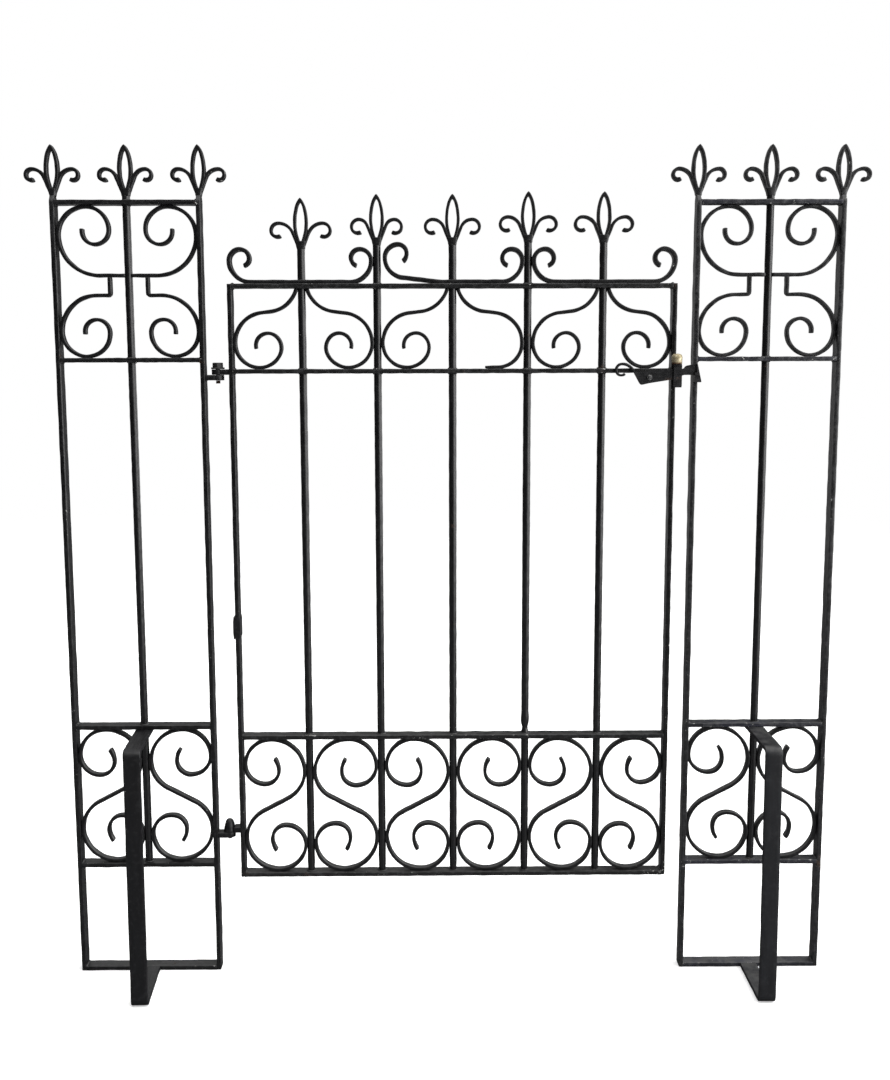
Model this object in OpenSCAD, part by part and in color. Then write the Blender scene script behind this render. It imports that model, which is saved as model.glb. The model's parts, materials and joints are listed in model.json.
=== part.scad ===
// Wrought iron pedestrian gate between two short railing panels.
// Millimetres, +Z up. +X runs from the hinge side to the latch side, -Y is the side with the latch and stays.
// The origin is on the underside of the hinge side panel's base bar, on its middle bar's axis.

/* [Stock] */
// Thickness of the flat bar that makes posts, stiles and rails
flat_t = 7; // [5:0.5:12]
// Width of the flat bar that makes posts, stiles and rails
flat_w = 25; // [18:1:40]
// Diameter of the round upright bars
bar_d = 12.7; // [10:0.1:20]
// Thickness of the scroll strip
strip_t = 5.5; // [3:0.5:8]
// Width of the scroll strip, front to back
strip_w = 12; // [8:1:25]
// Width of the cresting strip on the top rail, front to back
crest_w = 18; // [16:1:25]
// Thickness of the cresting strip
crest_t = 6.5; // [4:0.5:9]

/* [Layout] */
// Clear width of one gate bay, between two bars
gate_bay = 115.25; // [95:0.25:150]
// Clear width of the gate bay beside each stile
end_bay = 111.25; // [92:0.25:150]
// Clear width of one panel bay, between post and middle bar
panel_bay = 112.3; // [95:0.1:150]
// Clear gap between the hinge post and the hinge stile
hinge_gap = 41.5; // [36:0.5:60]
// Clear gap between the latch stile and the latch post
latch_gap = 30.5; // [24:0.5:40]

/* [Heights] */
// Underside of the gate's bottom rail above the ground
gate_lift = 176; // [120:1:240]
// Underside of the panel's kick rail above the ground
kick_lift = 195.5; // [150:0.5:260]
// Clear height of the S-scroll band, on gate and panels
scroll_band = 247; // [220:1:320]
// Clear height of the plain bars, on gate and panels
plain_band = 636; // [450:1:900]
// Clear height of the gate's upper scroll band
heart_band = 136; // [125:1:180]
// Clear height of the panel's upper scroll band
panel_crest = 254.5; // [235:0.5:330]

/* [Finials] */
// Height of a gate bar above the top rail, up to its finial
gate_neck = 69; // [40:1:120]
// Height of a panel post above the top rail, up to its finial
panel_neck = 8; // [6:1:60]
// Height of a finial's leaf
leaf_h = 84; // [60:1:110]
// Width of a finial's leaf, outside
leaf_w = 24; // [18:1:36]
// Thickness of the strip in the gate's finials
gate_leaf_t = 4.5; // [2.5:0.5:6]
// Thickness of the strip in the panels' finials
panel_leaf_t = 5; // [2.5:0.5:6]

/* [Stays] */
// Distance from the panel's plane to the top of the stay's leg
stay_reach = 137; // [80:1:200]
// Distance from the panel's plane to the foot of the stay's leg
stay_foot = 146; // [100:1:240]
// Angle by which the left stay points towards the gate, seen from above
left_stay_turn = 3.5; // [0:0.5:8]
// Width of the stay's flat bar
stay_w = 28; // [20:1:40]
// Thickness of the stay's flat bar
stay_t = 7; // [5:0.5:10]
// Bend radius of the stay, at the middle of the bar
stay_bend = 9; // [8:1:25]

/* [Hinges] */
// Diameter of the hinge bolt and of the lower pin
pin_d = 8; // [6:0.5:12]
// Thickness of each hinge lug
lug_t = 9; // [6:0.5:12]
// Outer diameter of the hinge eyes
eye_d = 21; // [16:1:26]
// Height of the lower hinge socket's underside above the ground
socket_z = 258; // [220:1:300]

/* [Latch] */
// Depth of the latch lever
lever_h = 18; // [14:1:26]
// Thickness of the latch lever
lever_t = 6; // [4:0.5:8]
// Room above the lever inside its guide
lift_room = 5; // [5:0.5:9]
// Diameter of the brass knob
knob_d = 18.5; // [14:0.5:26]

/* [Hidden] */
$fn = 48;

// gap left at welded touches, and round a bar in its punched hole
weld_gap = 0.1;
punch_gap = 0.1;
// running clearances
pin_gap = 0.08;
turn_gap = 0.5;
lever_gap = 1;
// gap between the latch's nose and the keeper it rests on
rest_gap = 0.3;

// x of the uprights' middle lines
panel_pitch = panel_bay + bar_d / 2 + flat_t / 2;
post_l0 = -panel_pitch;
post_l2 = panel_pitch;
stile_l = post_l2 + flat_t + hinge_gap;
stile_r = stile_l + 2 * end_bay + 4 * gate_bay + 5 * bar_d + flat_t;
post_r0 = stile_r + flat_t + latch_gap;
post_r1 = post_r0 + panel_pitch;
post_r2 = post_r1 + panel_pitch;
first_bar_x = stile_l + flat_t / 2 + end_bay + bar_d / 2;
gate_bar_xs = [for (i = [0:4]) first_bar_x + i * (gate_bay + bar_d)];
hinge_x = post_l2 + flat_t / 2 + hinge_gap / 2;

// z of the rails' undersides
panel_lower_z = kick_lift + flat_t + scroll_band;
panel_middle_z = panel_lower_z + flat_t + plain_band;
panel_top_z = panel_middle_z + flat_t + panel_crest;
panel_post_top = panel_top_z + flat_t + panel_neck;
gate_bottom_z = gate_lift;
gate_lower_z = gate_bottom_z + flat_t + scroll_band;
gate_middle_z = gate_lower_z + flat_t + plain_band;
gate_top_z = gate_middle_z + flat_t + heart_band;
// the bars were cut by hand, so their tops aren't quite level
gate_bar_tops = [for (short = [10, 4, 4, 0, 0]) gate_top_z + flat_t + gate_neck - short];

// A strip laid along tangent arcs and straights in the XY plane, starting at the origin along +X.
// Each step is [radius, turn], left turns positive, or [length, 0]. A hair-thin lap joins the steps.
lap = 0.4;
lap_skin = 0.01;
module run_strip(steps, t, w, i = 0) {
  if (i < len(steps)) {
    r = steps[i][0];
    a = steps[i][1];
    if (i > 0)
      translate([-lap / 2, -t / 2 - lap_skin, -w / 2 - lap_skin])
        cube([lap, t + 2 * lap_skin, w + 2 * lap_skin]);
    if (a == 0) {
      translate([0, -t / 2, -w / 2])
        cube([r, t, w]);
      translate([r, 0, 0])
        run_strip(steps, t, w, i + 1);
    } else {
      side = a > 0 ? 1 : -1;
      from = a > 0 ? -90 : 90 + a;
      translate([0, side * r, 0]) {
        rotate([0, 0, from])
          rotate_extrude(angle = abs(a), $fn = 96)
            translate([r - t / 2, -w / 2])
              square([t, w]);
        rotate([0, 0, a])
          translate([0, -side * r, 0])
            run_strip(steps, t, w, i + 1);
      }
    }
  }
}

// The same strip upright in the XZ plane, from a point and a heading
module upright_strip(x, z, heading, steps, t = strip_t, w = strip_w) {
  translate([x, 0, z])
    rotate([90, 0, 0])
      rotate([0, 0, heading])
        run_strip(steps, t, w);
}

// Turn and radius of the arc that leaves upright and drifts sideways by dx over a height dz
function bow_turn(dx, dz) = 2 * atan(dx / dz);
function bow_radius(dx, dz) = dz / sin(bow_turn(dx, dz));

// Straight length and radius that join a sloping start to an upright finish, over dx and dz
function lean_radius(dx, dz, a) = (dz * cos(a) - dx * sin(a)) / (1 - sin(a));
function lean_length(dx, dz, a) = (dx - lean_radius(dx, dz, a) * (1 - sin(a))) / cos(a);

module flat_upright(x, z0, z1) {
  translate([x - flat_t / 2, -flat_w / 2, z0])
    cube([flat_t, flat_w, z1 - z0]);
}

module flat_rail(x0, x1, z, holes = []) {
  difference() {
    translate([x0, -flat_w / 2, z])
      cube([x1 - x0, flat_w, flat_t]);
    for (x = holes)
      translate([x, 0, z - 1])
        cylinder(d = bar_d + 2 * punch_gap, h = flat_t + 2);
  }
}

// S-scroll that fills a bay: x0 is the bay's left side, z0 its bottom
s_lean = 28;
s_tip = 36;
module s_half(bay) {
  reach = bay / 2 - strip_t / 2 - weld_gap;
  rise = scroll_band / 2 - strip_t / 2 - weld_gap;
  big = 0.55 * 2 * reach;
  small = 2 * reach - big;
  dz = rise - big;
  r = lean_radius(reach, dz, s_lean);
  run_strip([[lean_length(reach, dz, s_lean), 0], [r, 90 - s_lean], [big, 90], [small, 90],
    [0.33 * 2 * reach, 90], [0.235 * 2 * reach, 90], [0.36 * 2 * reach, s_tip]], strip_t, strip_w);
}

module s_scroll(x0, z0, bay, flip) {
  translate([x0 + bay / 2, 0, z0 + scroll_band / 2])
    mirror([flip ? 1 : 0, 0, 0])
      rotate([90, 0, 0])
        for (half = [0, 180])
          rotate([0, 0, half])
            rotate([0, 0, s_lean])
              s_half(bay);
}

// Finial: an open leaf between two outward curls, on a small forged root.
// reach is how far the curls spread, top and low their highest and lowest points above the root
root_h = 12;
root_skin = 0.3;
root_flare = 2.5;
curl_angle = 68;
curl_foot = 1.2;
curl_share = 0.55;
module finial(x, z, reach, top, low, thin, root_w) {
  translate([x, 0, z]) {
    leaf(thin);
    for (s = [0, 1])
      mirror([s, 0, 0])
        finial_curl(reach, top, low, thin, root_w);
    rotate([90, 0, 0])
      linear_extrude(strip_w + 2 * root_skin, center = true)
        polygon([[-root_w / 2, 0], [root_w / 2, 0],
          [root_w / 2 + root_flare, root_h], [-root_w / 2 - root_flare, root_h]]);
  }
}

module finial_curl(reach, top, low, thin, root_w) {
  fall = top - low - thin;
  outer_r = curl_share * fall;
  foot_x = root_w / 2 - thin / 2 / sin(curl_angle) - curl_foot / tan(curl_angle);
  dx = reach - thin / 2 - outer_r - foot_x;
  dz = top - thin / 2 - curl_foot;
  half_turn = tan(curl_angle / 2);
  stem = (dz - half_turn * dx) / (sin(curl_angle) - half_turn * cos(curl_angle));
  shoulder_r = (dx - stem * cos(curl_angle)) / sin(curl_angle);
  upright_strip(foot_x, curl_foot, curl_angle,
    [[stem, 0], [shoulder_r, -curl_angle], [outer_r, -90], [fall - outer_r, -90], [outer_r, -30]],
    thin, strip_w - 2 * root_skin);
}

// The leaf is two arcs back to back, hollowed by two smaller ones
module leaf(thin) {
  r = (pow(leaf_h / 2, 2) + pow(leaf_w / 2, 2)) / leaf_w;
  off = r - leaf_w / 2;
  translate([0, strip_w / 2, leaf_h / 2])
    rotate([90, 0, 0])
      linear_extrude(strip_w)
        difference() {
          lens(r, off);
          lens(r - thin, off);
        }
}

module lens(r, off) {
  intersection() {
    translate([off, 0])
      circle(r = r, $fn = 180);
    translate([-off, 0])
      circle(r = r, $fn = 180);
  }
}

// Panel: posts at x0, x1 and x2
module panel_bar(x) {
  translate([x, 0, kick_lift + flat_t])
    cylinder(d = bar_d, h = panel_post_top - kick_lift - flat_t);
}

panel_curl_reach = 46;
panel_curl_top = 46;
panel_curl_low = 23;
module panel_finials(x0, x1, x2) {
  for (x = [x0, x2])
    finial(x, panel_post_top, panel_curl_reach, panel_curl_top, panel_curl_low, panel_leaf_t, flat_t + 2);
  finial(x1, panel_post_top, panel_curl_reach, panel_curl_top, panel_curl_low, panel_leaf_t, bar_d);
}

// Steps from level to upright over dx and dz: the arc is as large as fits
function corner_steps(dx, dz, turn) =
  dx > dz ? [[dx - dz, 0], [dz, turn]] : [[dx, turn], [dz - dx, 0]];

// Upper scrollwork of one panel half, from the middle bar outwards to +X.
// Radii of the quarter turns, from the post inwards; the lower scroll hangs on a drop from the upper one
c_top = 47;
c_low = 66.5;
c_inner = 38;
drop_x = 32;
drop_h = 33;
panel_hook = 41;
curl_tip = 5;
module panel_scroll_half(side, bar_x) {
  reach = bar_d / 2 + panel_bay - strip_t / 2 - weld_gap;
  top = panel_top_z - strip_t / 2 - weld_gap;
  bottom = panel_middle_z + flat_t + strip_t / 2 + weld_gap;
  band_z = top - c_top - c_low;
  shelf_z = band_z - drop_h;
  translate([bar_x, 0, 0])
    mirror([side < 0 ? 1 : 0, 0, 0]) {
      upright_strip(bar_d / 2 + weld_gap, band_z, 0,
        [[reach - c_low - bar_d / 2 - weld_gap, 0], [c_low, 90], [c_top, 90],
          [c_inner, 90], [24, 90], [21, 90], [curl_tip, 0]]);
      upright_strip(drop_x + strip_t / 2, shelf_z, 0,
        concat(corner_steps(reach - drop_x - strip_t / 2, shelf_z - bottom - panel_hook, -90),
          [[panel_hook, -90], [panel_hook - 1, -90], [22, -90], [20, -90], [curl_tip, 0]]));
      translate([drop_x - strip_t / 2, -strip_w / 2, shelf_z - strip_t / 2])
        cube([strip_t, strip_w, band_z - shelf_z - weld_gap]);
    }
}

// Back stay: flat bar bent to a bracket, its leg a little splayed towards the ground
module stay(x, turn = 0) {
  mid = stay_t / 2;
  leg_h = panel_lower_z - stay_t - 2 * stay_bend;
  splay = atan((stay_foot - stay_reach) / leg_h);
  start = (flat_w / 2 + stay_w / 2 * sin(turn)) / cos(turn);
  difference() {
    translate([x, 0, mid])
      rotate([0, 0, turn])
        translate([0, -start, 0])
          rotate([90, 0, -90])
            run_strip([[stay_foot - start - stay_bend, 0], [stay_bend, 90 + splay],
              [leg_h / cos(splay), 0], [stay_bend, 90 - splay],
              [stay_reach - stay_bend + flat_w / 2, 0]], stay_t, stay_w);
    translate([x, 0, panel_lower_z - stay_t - 1])
      cylinder(d = bar_d + 2 * punch_gap, h = stay_t + 2);
  }
}

// Heart scroll: one side, from under the top rail beside a bar, out to the next upright
heart_hook = 41;
heart_root = 2.65;
module heart_side(bar_x, side, reach, broken = false) {
  start_x = bar_d / 2 + heart_root;
  steep = 74;
  top = gate_top_z - strip_t / 2 * cos(steep) - weld_gap;
  low = gate_middle_z + flat_t + strip_t / 2 + weld_gap;
  out = reach - strip_t / 2 - weld_gap;
  slope = 7;
  dx = out - start_x;
  dz = top - low - heart_hook;
  drop = 53;
  rest_x = dx - drop * (sin(steep) - sin(slope));
  rest_z = dz - drop * (cos(slope) - cos(steep));
  bend = lean_radius(rest_x, rest_z, slope);
  mid = lean_length(rest_x, rest_z, slope);
  tail = broken ? [[22, 0]] : [[heart_hook - 2, -65], [26, -70], [21, -150]];
  translate([bar_x, 0, 0])
    mirror([side < 0 ? 1 : 0, 0, 0])
      upright_strip(start_x, top, -steep,
        concat([[drop, steep - slope], [mid, 0], [bend, slope - 90], [heart_hook, -90]], tail));
}

curl_lead = 35.5;
loose_flat = 14;
loose_lead = 33;
loose_short = 33;
module cresting(x, half_l, half_r, lift_l = 0) {
  z = gate_top_z + flat_t + crest_t / 2;
  curl = [[curl_lead, 90], [19, 90], [15, 90], [13, 75]];
  loose = [[loose_flat, 0], [160, lift_l], [half_l - crest_t / 2 - loose_lead - loose_short, 0],
    [loose_lead, 90 - lift_l], [22, 90], [15, 90], [16, 55]];
  flat_l = concat([[half_l - crest_t / 2 - curl_lead, 0]], curl);
  flat_r = concat([[half_r - crest_t / 2 - curl_lead, 0]], curl);
  difference() {
    union() {
      upright_strip(x, z, 0, flat_r, crest_t, crest_w);
      mirror([1, 0, 0])
        upright_strip(-x, z, 0, lift_l == 0 ? flat_l : loose, crest_t, crest_w);
      translate([x - 1, -crest_w / 2, z - crest_t / 2])
        cube([2, crest_w, crest_t + lap_skin]);
    }
    translate([x, 0, z - flat_t])
      cylinder(d = bar_d + 2 * punch_gap, h = 2 * flat_t);
  }
}

// Hinges
eye_x = hinge_x;
module eye_lug(x_from, z, t) {
  difference() {
    union() {
      translate([min(x_from, eye_x), -eye_d / 2, z])
        cube([abs(x_from - eye_x), eye_d, t]);
      translate([eye_x, 0, z])
        cylinder(d = eye_d, h = t);
    }
    translate([eye_x, 0, z - 1])
      cylinder(d = pin_d + 2 * pin_gap, h = t + 2);
  }
}

// Latch: lever_z is the lever's underside at the stile
pivot_x = stile_r - 42;
lever_top = gate_middle_z + flat_t;
lever_sink = 0.5;
lever_z = lever_top - lever_sink - lever_h;
lever_y = -flat_w / 2 - lever_gap;
pivot_z = lever_z + 3.5;
tail_reach = 30;
nose_end = post_r0 - 0.5;
nose_z = lever_z + 7.5;
nose_h = 19;
// the strap that guides the lever, off the stile's middle line
guide_x = stile_r - 1.5;
guide_w = 14;
guide_t = 2.5;
guide_drop = 11;

// The outline runs from the forked tail along the top to the nose, and back along the underside
module lever_plate() {
  rise_x = guide_x + guide_w + 3.5;
  translate([0, lever_y, 0])
    rotate([90, 0, 0])
      linear_extrude(lever_t)
        polygon([[pivot_x - tail_reach, lever_top - 1], [pivot_x - tail_reach + 6, lever_top - 6],
          [stile_r - 2, lever_top - lever_sink], [rise_x, lever_top - lever_sink],
          [rise_x + 4, nose_z + nose_h - 3.5], [nose_end, nose_z + nose_h], [nose_end, nose_z],
          [rise_x - 1, nose_z], [stile_r + 8, lever_z + 1.5], [stile_r - 2, lever_z],
          [pivot_x + 1, lever_z - 6], [pivot_x - tail_reach / 2, lever_z - 9.5]]);
}

module left_outer_post() {
  color("#26262a")
    flat_upright(post_l0, 0, panel_post_top);
}
module left_middle_bar() {
  color("#303036")
    panel_bar(0);
}
module hinge_post() {
  color("#26262a")
    flat_upright(post_l2, 0, panel_post_top);
}
module panel_rail_span(x0, x2, z, holes = []) {
  flat_rail(x0 + flat_t / 2, x2 - flat_t / 2, z, holes);
}
module left_top_rail() {
  color("#2c2c31")
    panel_rail_span(post_l0, post_l2, panel_top_z, [0]);
}
module left_middle_rail() {
  color("#2c2c31")
    panel_rail_span(post_l0, post_l2, panel_middle_z, [0]);
}
module left_lower_rail() {
  color("#2c2c31")
    panel_rail_span(post_l0, post_l2, panel_lower_z, [0]);
}
module left_kick_rail() {
  color("#2c2c31")
    panel_rail_span(post_l0, post_l2, kick_lift);
}
module left_base_bar() {
  color("#2c2c31")
    panel_rail_span(post_l0, post_l2, 0);
}
module left_upper_scrolls() {
  color("#38383e")
    for (s = [-1, 1])
      panel_scroll_half(s, 0);
}
module left_s_scrolls() {
  color("#38383e") {
    s_scroll(post_l0 + flat_t / 2, kick_lift + flat_t, panel_bay, false);
    s_scroll(bar_d / 2, kick_lift + flat_t, panel_bay, true);
  }
}
module left_finials() {
  color("#3c3c42")
    panel_finials(post_l0, 0, post_l2);
}
module left_stay() {
  color("#2a2a30")
    stay(0, left_stay_turn);
}

module right_outer_post() {
  color("#26262a")
    flat_upright(post_r2, 0, panel_post_top);
}
module right_middle_bar() {
  color("#303036")
    panel_bar(post_r1);
}
module latch_post() {
  color("#26262a")
    flat_upright(post_r0, 0, panel_post_top);
}
module right_top_rail() {
  color("#2c2c31")
    panel_rail_span(post_r0, post_r2, panel_top_z, [post_r1]);
}
module right_middle_rail() {
  color("#2c2c31")
    panel_rail_span(post_r0, post_r2, panel_middle_z, [post_r1]);
}
module right_lower_rail() {
  color("#2c2c31")
    panel_rail_span(post_r0, post_r2, panel_lower_z, [post_r1]);
}
module right_kick_rail() {
  color("#2c2c31")
    panel_rail_span(post_r0, post_r2, kick_lift);
}
module right_base_bar() {
  color("#2c2c31")
    panel_rail_span(post_r0, post_r2, 0);
}
module right_upper_scrolls() {
  color("#38383e")
    for (s = [-1, 1])
      panel_scroll_half(s, post_r1);
}
module right_s_scrolls() {
  color("#38383e") {
    s_scroll(post_r0 + flat_t / 2, kick_lift + flat_t, panel_bay, false);
    s_scroll(post_r1 + bar_d / 2, kick_lift + flat_t, panel_bay, true);
  }
}
module right_finials() {
  color("#3c3c42")
    panel_finials(post_r0, post_r1, post_r2);
}
module right_stay() {
  color("#2a2a30")
    stay(post_r1);
}

upper_eye_z = gate_middle_z + flat_t - lug_t;
upper_lug_z = upper_eye_z - turn_gap - lug_t;
module upper_hinge_lug() {
  color("#2a2a30")
    eye_lug(post_l2 + flat_t / 2, upper_lug_z, lug_t);
}
bolt_end = 6;
washer_d = 23;
washer_t = 3;
bolt_head_d = 19;
bolt_head_h = 8;
module hinge_bolt() {
  head_z = gate_middle_z + flat_t + turn_gap;
  color("#4a4038") {
    translate([eye_x, 0, upper_lug_z - bolt_end])
      cylinder(d = pin_d, h = head_z - upper_lug_z + bolt_end);
    translate([eye_x, 0, head_z])
      cylinder(d = washer_d, h = washer_t);
    translate([eye_x, 0, head_z + washer_t])
      cylinder(d = bolt_head_d, h = bolt_head_h, $fn = 6);
  }
}
// the lower lug's pin goes up into the socket's bore
lower_lug_z = socket_z - turn_gap - lug_t;
pin_end = 4;
pin_rise = 16;
module lower_hinge_lug() {
  color("#2a2a30") {
    translate([post_l2 + flat_t / 2, -eye_d / 2, lower_lug_z])
      cube([hinge_gap / 2, eye_d, lug_t]);
    translate([eye_x, 0, lower_lug_z])
      cylinder(d = eye_d, h = lug_t);
    translate([eye_x, 0, lower_lug_z - pin_end])
      cylinder(d = pin_d, h = pin_end + lug_t + turn_gap + pin_rise);
  }
}
keeper_foot = 12;
keeper_slant = 5;
keeper_wall = 1.5;
horn_h = 4.5;
horn_t = 3;
module latch_keeper() {
  shelf_z = nose_z - rest_gap;
  front = lever_y - lever_t - lever_gap;
  left = post_r0 - flat_t / 2;
  wall_x = nose_end + turn_gap;
  low_x = post_r0 + flat_t / 2 + keeper_slant;
  color("#2a2a30") {
    translate([0, -flat_w / 2, 0])
      rotate([90, 0, 0])
        linear_extrude(-flat_w / 2 - front + horn_t)
          polygon([[left, shelf_z - keeper_foot], [low_x, shelf_z - keeper_foot],
            [wall_x + keeper_wall, shelf_z + nose_h], [wall_x, shelf_z + nose_h],
            [wall_x, shelf_z], [left, shelf_z]]);
    translate([left, front - horn_t, shelf_z])
      cube([wall_x - left + keeper_wall, horn_t, horn_h]);
  }
}

module hinge_stile() {
  color("#26262a")
    flat_upright(stile_l, gate_bottom_z, gate_top_z + flat_t);
}
module latch_stile() {
  color("#26262a")
    flat_upright(stile_r, gate_bottom_z, gate_top_z + flat_t);
}
module gate_rail(z, holes = []) {
  flat_rail(stile_l + flat_t / 2, stile_r - flat_t / 2, z, holes);
}
module gate_top_rail() {
  color("#2c2c31")
    gate_rail(gate_top_z, gate_bar_xs);
}
module gate_middle_rail() {
  color("#2c2c31")
    gate_rail(gate_middle_z, gate_bar_xs);
}
module gate_lower_rail() {
  color("#2c2c31")
    gate_rail(gate_lower_z, gate_bar_xs);
}
module gate_bottom_rail() {
  color("#2c2c31")
    gate_rail(gate_bottom_z);
}
module gate_bars() {
  color("#303036")
    for (i = [0:4])
      translate([gate_bar_xs[i], 0, gate_bottom_z + flat_t])
        cylinder(d = bar_d, h = gate_bar_tops[i] - gate_bottom_z - flat_t);
}
gate_curl_reach = [52, 44.5, 48, 49.5, 50.5];
gate_curl_top = 44;
gate_curl_low = 17;
module gate_finials() {
  color("#3c3c42")
    for (i = [0:4])
      finial(gate_bar_xs[i], gate_bar_tops[i], gate_curl_reach[i], gate_curl_top, gate_curl_low,
        gate_leaf_t, bar_d);
}
end_half = end_bay + bar_d / 2 + flat_t;
mid_half = gate_bay + bar_d / 2 - weld_gap;
module cresting_left() {
  color("#34343a")
    cresting(gate_bar_xs[0], end_half, mid_half);
}
module cresting_middle() {
  color("#34343a")
    cresting(gate_bar_xs[2], mid_half, mid_half, 7);
}
module cresting_right() {
  color("#34343a")
    cresting(gate_bar_xs[4], mid_half, end_half);
}
heart_reach = bar_d / 2 + gate_bay;
end_heart_reach = bar_d / 2 + end_bay;
module heart_scrolls() {
  color("#38383e")
    for (i = [0, 2, 4])
      for (s = [-1, 1])
        if (!(i == 2 && s == 1))
          heart_side(gate_bar_xs[i], s,
            (i == 0 && s < 0) || (i == 4 && s > 0) ? end_heart_reach : heart_reach);
}
module broken_scroll() {
  color("#38383e")
    heart_side(gate_bar_xs[2], 1, heart_reach, true);
}
module gate_s_scrolls() {
  color("#38383e")
    for (i = [0:5]) {
      bay = i == 0 || i == 5 ? end_bay : gate_bay;
      left = i == 0 ? stile_l + flat_t / 2 : gate_bar_xs[i - 1] + bar_d / 2;
      s_scroll(left, gate_bottom_z + flat_t, bay, i % 2 == 1);
    }
}
collar_z = 612;
collar_h = 40;
collar_bulge = 4;
collar_skin = 1.5;
module splice_collar() {
  color("#2a2a30")
    difference() {
      translate([stile_l - flat_t / 2 - collar_bulge, -flat_w / 2 - collar_skin, collar_z])
        cube([flat_t + collar_bulge + collar_skin, flat_w + 2 * collar_skin, collar_h]);
      translate([stile_l - flat_t / 2, -flat_w / 2, collar_z - 1])
        cube([flat_t, flat_w, collar_h + 2]);
    }
}
module upper_hinge_eye() {
  color("#2a2a30")
    eye_lug(stile_l - flat_t / 2, upper_eye_z, lug_t);
}
socket_arm_t = 9;
socket_d = 22;
socket_neck_d = 15;
socket_h = 18;
socket_cap_h = 5;
module lower_hinge_socket() {
  color("#2a2a30")
    difference() {
      union() {
        translate([eye_x, -eye_d / 2, socket_z])
          cube([stile_l - flat_t / 2 - eye_x, eye_d, socket_arm_t]);
        translate([eye_x, 0, socket_z])
          cylinder(d1 = socket_d, d2 = socket_neck_d, h = socket_h);
        translate([eye_x, 0, socket_z + socket_h])
          cylinder(d1 = socket_neck_d, d2 = pin_d, h = socket_cap_h);
      }
      translate([eye_x, 0, socket_z - 1])
        cylinder(d = pin_d + 2 * pin_gap, h = 1 + pin_rise + 2 * turn_gap);
    }
}
module latch_guide() {
  front = lever_y - lever_t - lever_gap;
  top = lever_top + lift_room;
  low = lever_z - guide_drop;
  color("#2a2a30") {
    translate([guide_x, front - guide_t, low])
      cube([guide_w, guide_t, top - low]);
    translate([guide_x, front - guide_t, top])
      cube([guide_w, -flat_w / 2 - front + guide_t, guide_t]);
    translate([guide_x, front - guide_t, low - guide_t])
      cube([guide_w, -flat_w / 2 - front + guide_t, guide_t]);
  }
}
knob_h = 17.5;
knob_round = 4;
module brass_knob() {
  top = lever_top + lift_room + guide_t;
  color("#b7a878")
    translate([stile_r + flat_t / 2, -flat_w / 2 - knob_d / 2 - weld_gap, top]) {
      cylinder(d = knob_d, h = knob_h - knob_round);
      translate([0, 0, knob_h - knob_round])
        cylinder(d1 = knob_d, d2 = knob_d - 2 * knob_round, h = knob_round);
    }
}
// The lever's stud, on a tab that hangs from the middle rail
pivot_d = 5;
pivot_head_d = 9;
pivot_head_t = 2.5;
tab_w = 18;
tab_t = 5;
tab_drop = 8;
module latch_pivot() {
  reach = lever_gap + lever_t + rest_gap;
  color("#8c867c") {
    translate([pivot_x - tab_w / 2, -flat_w / 2, pivot_z - tab_drop])
      cube([tab_w, tab_t, gate_middle_z - pivot_z + tab_drop]);
    translate([pivot_x, -flat_w / 2, pivot_z])
      rotate([90, 0, 0]) {
        cylinder(d = pivot_d, h = reach + pivot_head_t);
        translate([0, 0, reach])
          cylinder(d = pivot_head_d, h = pivot_head_t);
      }
  }
}

// The lever's tail ends in a curl for a finger
curl_t = 4.5;
module latch_lever() {
  color("#202024") {
    difference() {
      lever_plate();
      translate([pivot_x, 0, pivot_z])
        rotate([90, 0, 0])
          cylinder(d = pivot_d + 2 * pin_gap, h = 2 * flat_w);
    }
    translate([0, lever_y - lever_t / 2, 0])
      upright_strip(pivot_x - tail_reach + 3, lever_top - 3, 135,
        [[6, 0], [22, 45], [10, 90], [9, 90], [8, 50]], curl_t, lever_t);
  }
}

left_outer_post();
left_middle_bar();
hinge_post();
left_top_rail();
left_middle_rail();
left_lower_rail();
left_kick_rail();
left_base_bar();
left_upper_scrolls();
left_s_scrolls();
left_finials();
left_stay();
right_outer_post();
right_middle_bar();
latch_post();
right_top_rail();
right_middle_rail();
right_lower_rail();
right_kick_rail();
right_base_bar();
right_upper_scrolls();
right_s_scrolls();
right_finials();
right_stay();
upper_hinge_lug();
hinge_bolt();
lower_hinge_lug();
latch_keeper();
upper_hinge_eye();
hinge_stile();
latch_stile();
gate_top_rail();
gate_middle_rail();
gate_lower_rail();
gate_bottom_rail();
gate_bars();
gate_finials();
cresting_left();
cresting_middle();
cresting_right();
heart_scrolls();
broken_scroll();
gate_s_scrolls();
splice_collar();
lower_hinge_socket();
latch_guide();
brass_knob();
latch_pivot();
latch_lever();
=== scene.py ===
# %% [markdown]
# # A wrought iron pedestrian gate between two railing panels
# The CAD model is loaded first and never moved. Every visible piece is then built round it in the same
# frame, in numpy, and stands for one CAD node. Working sizes are in millimetres, and meshes in metres.

# %% Load the frame
import json
import math

import bpy
import numpy as np
from mathutils import Matrix, Vector

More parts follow.
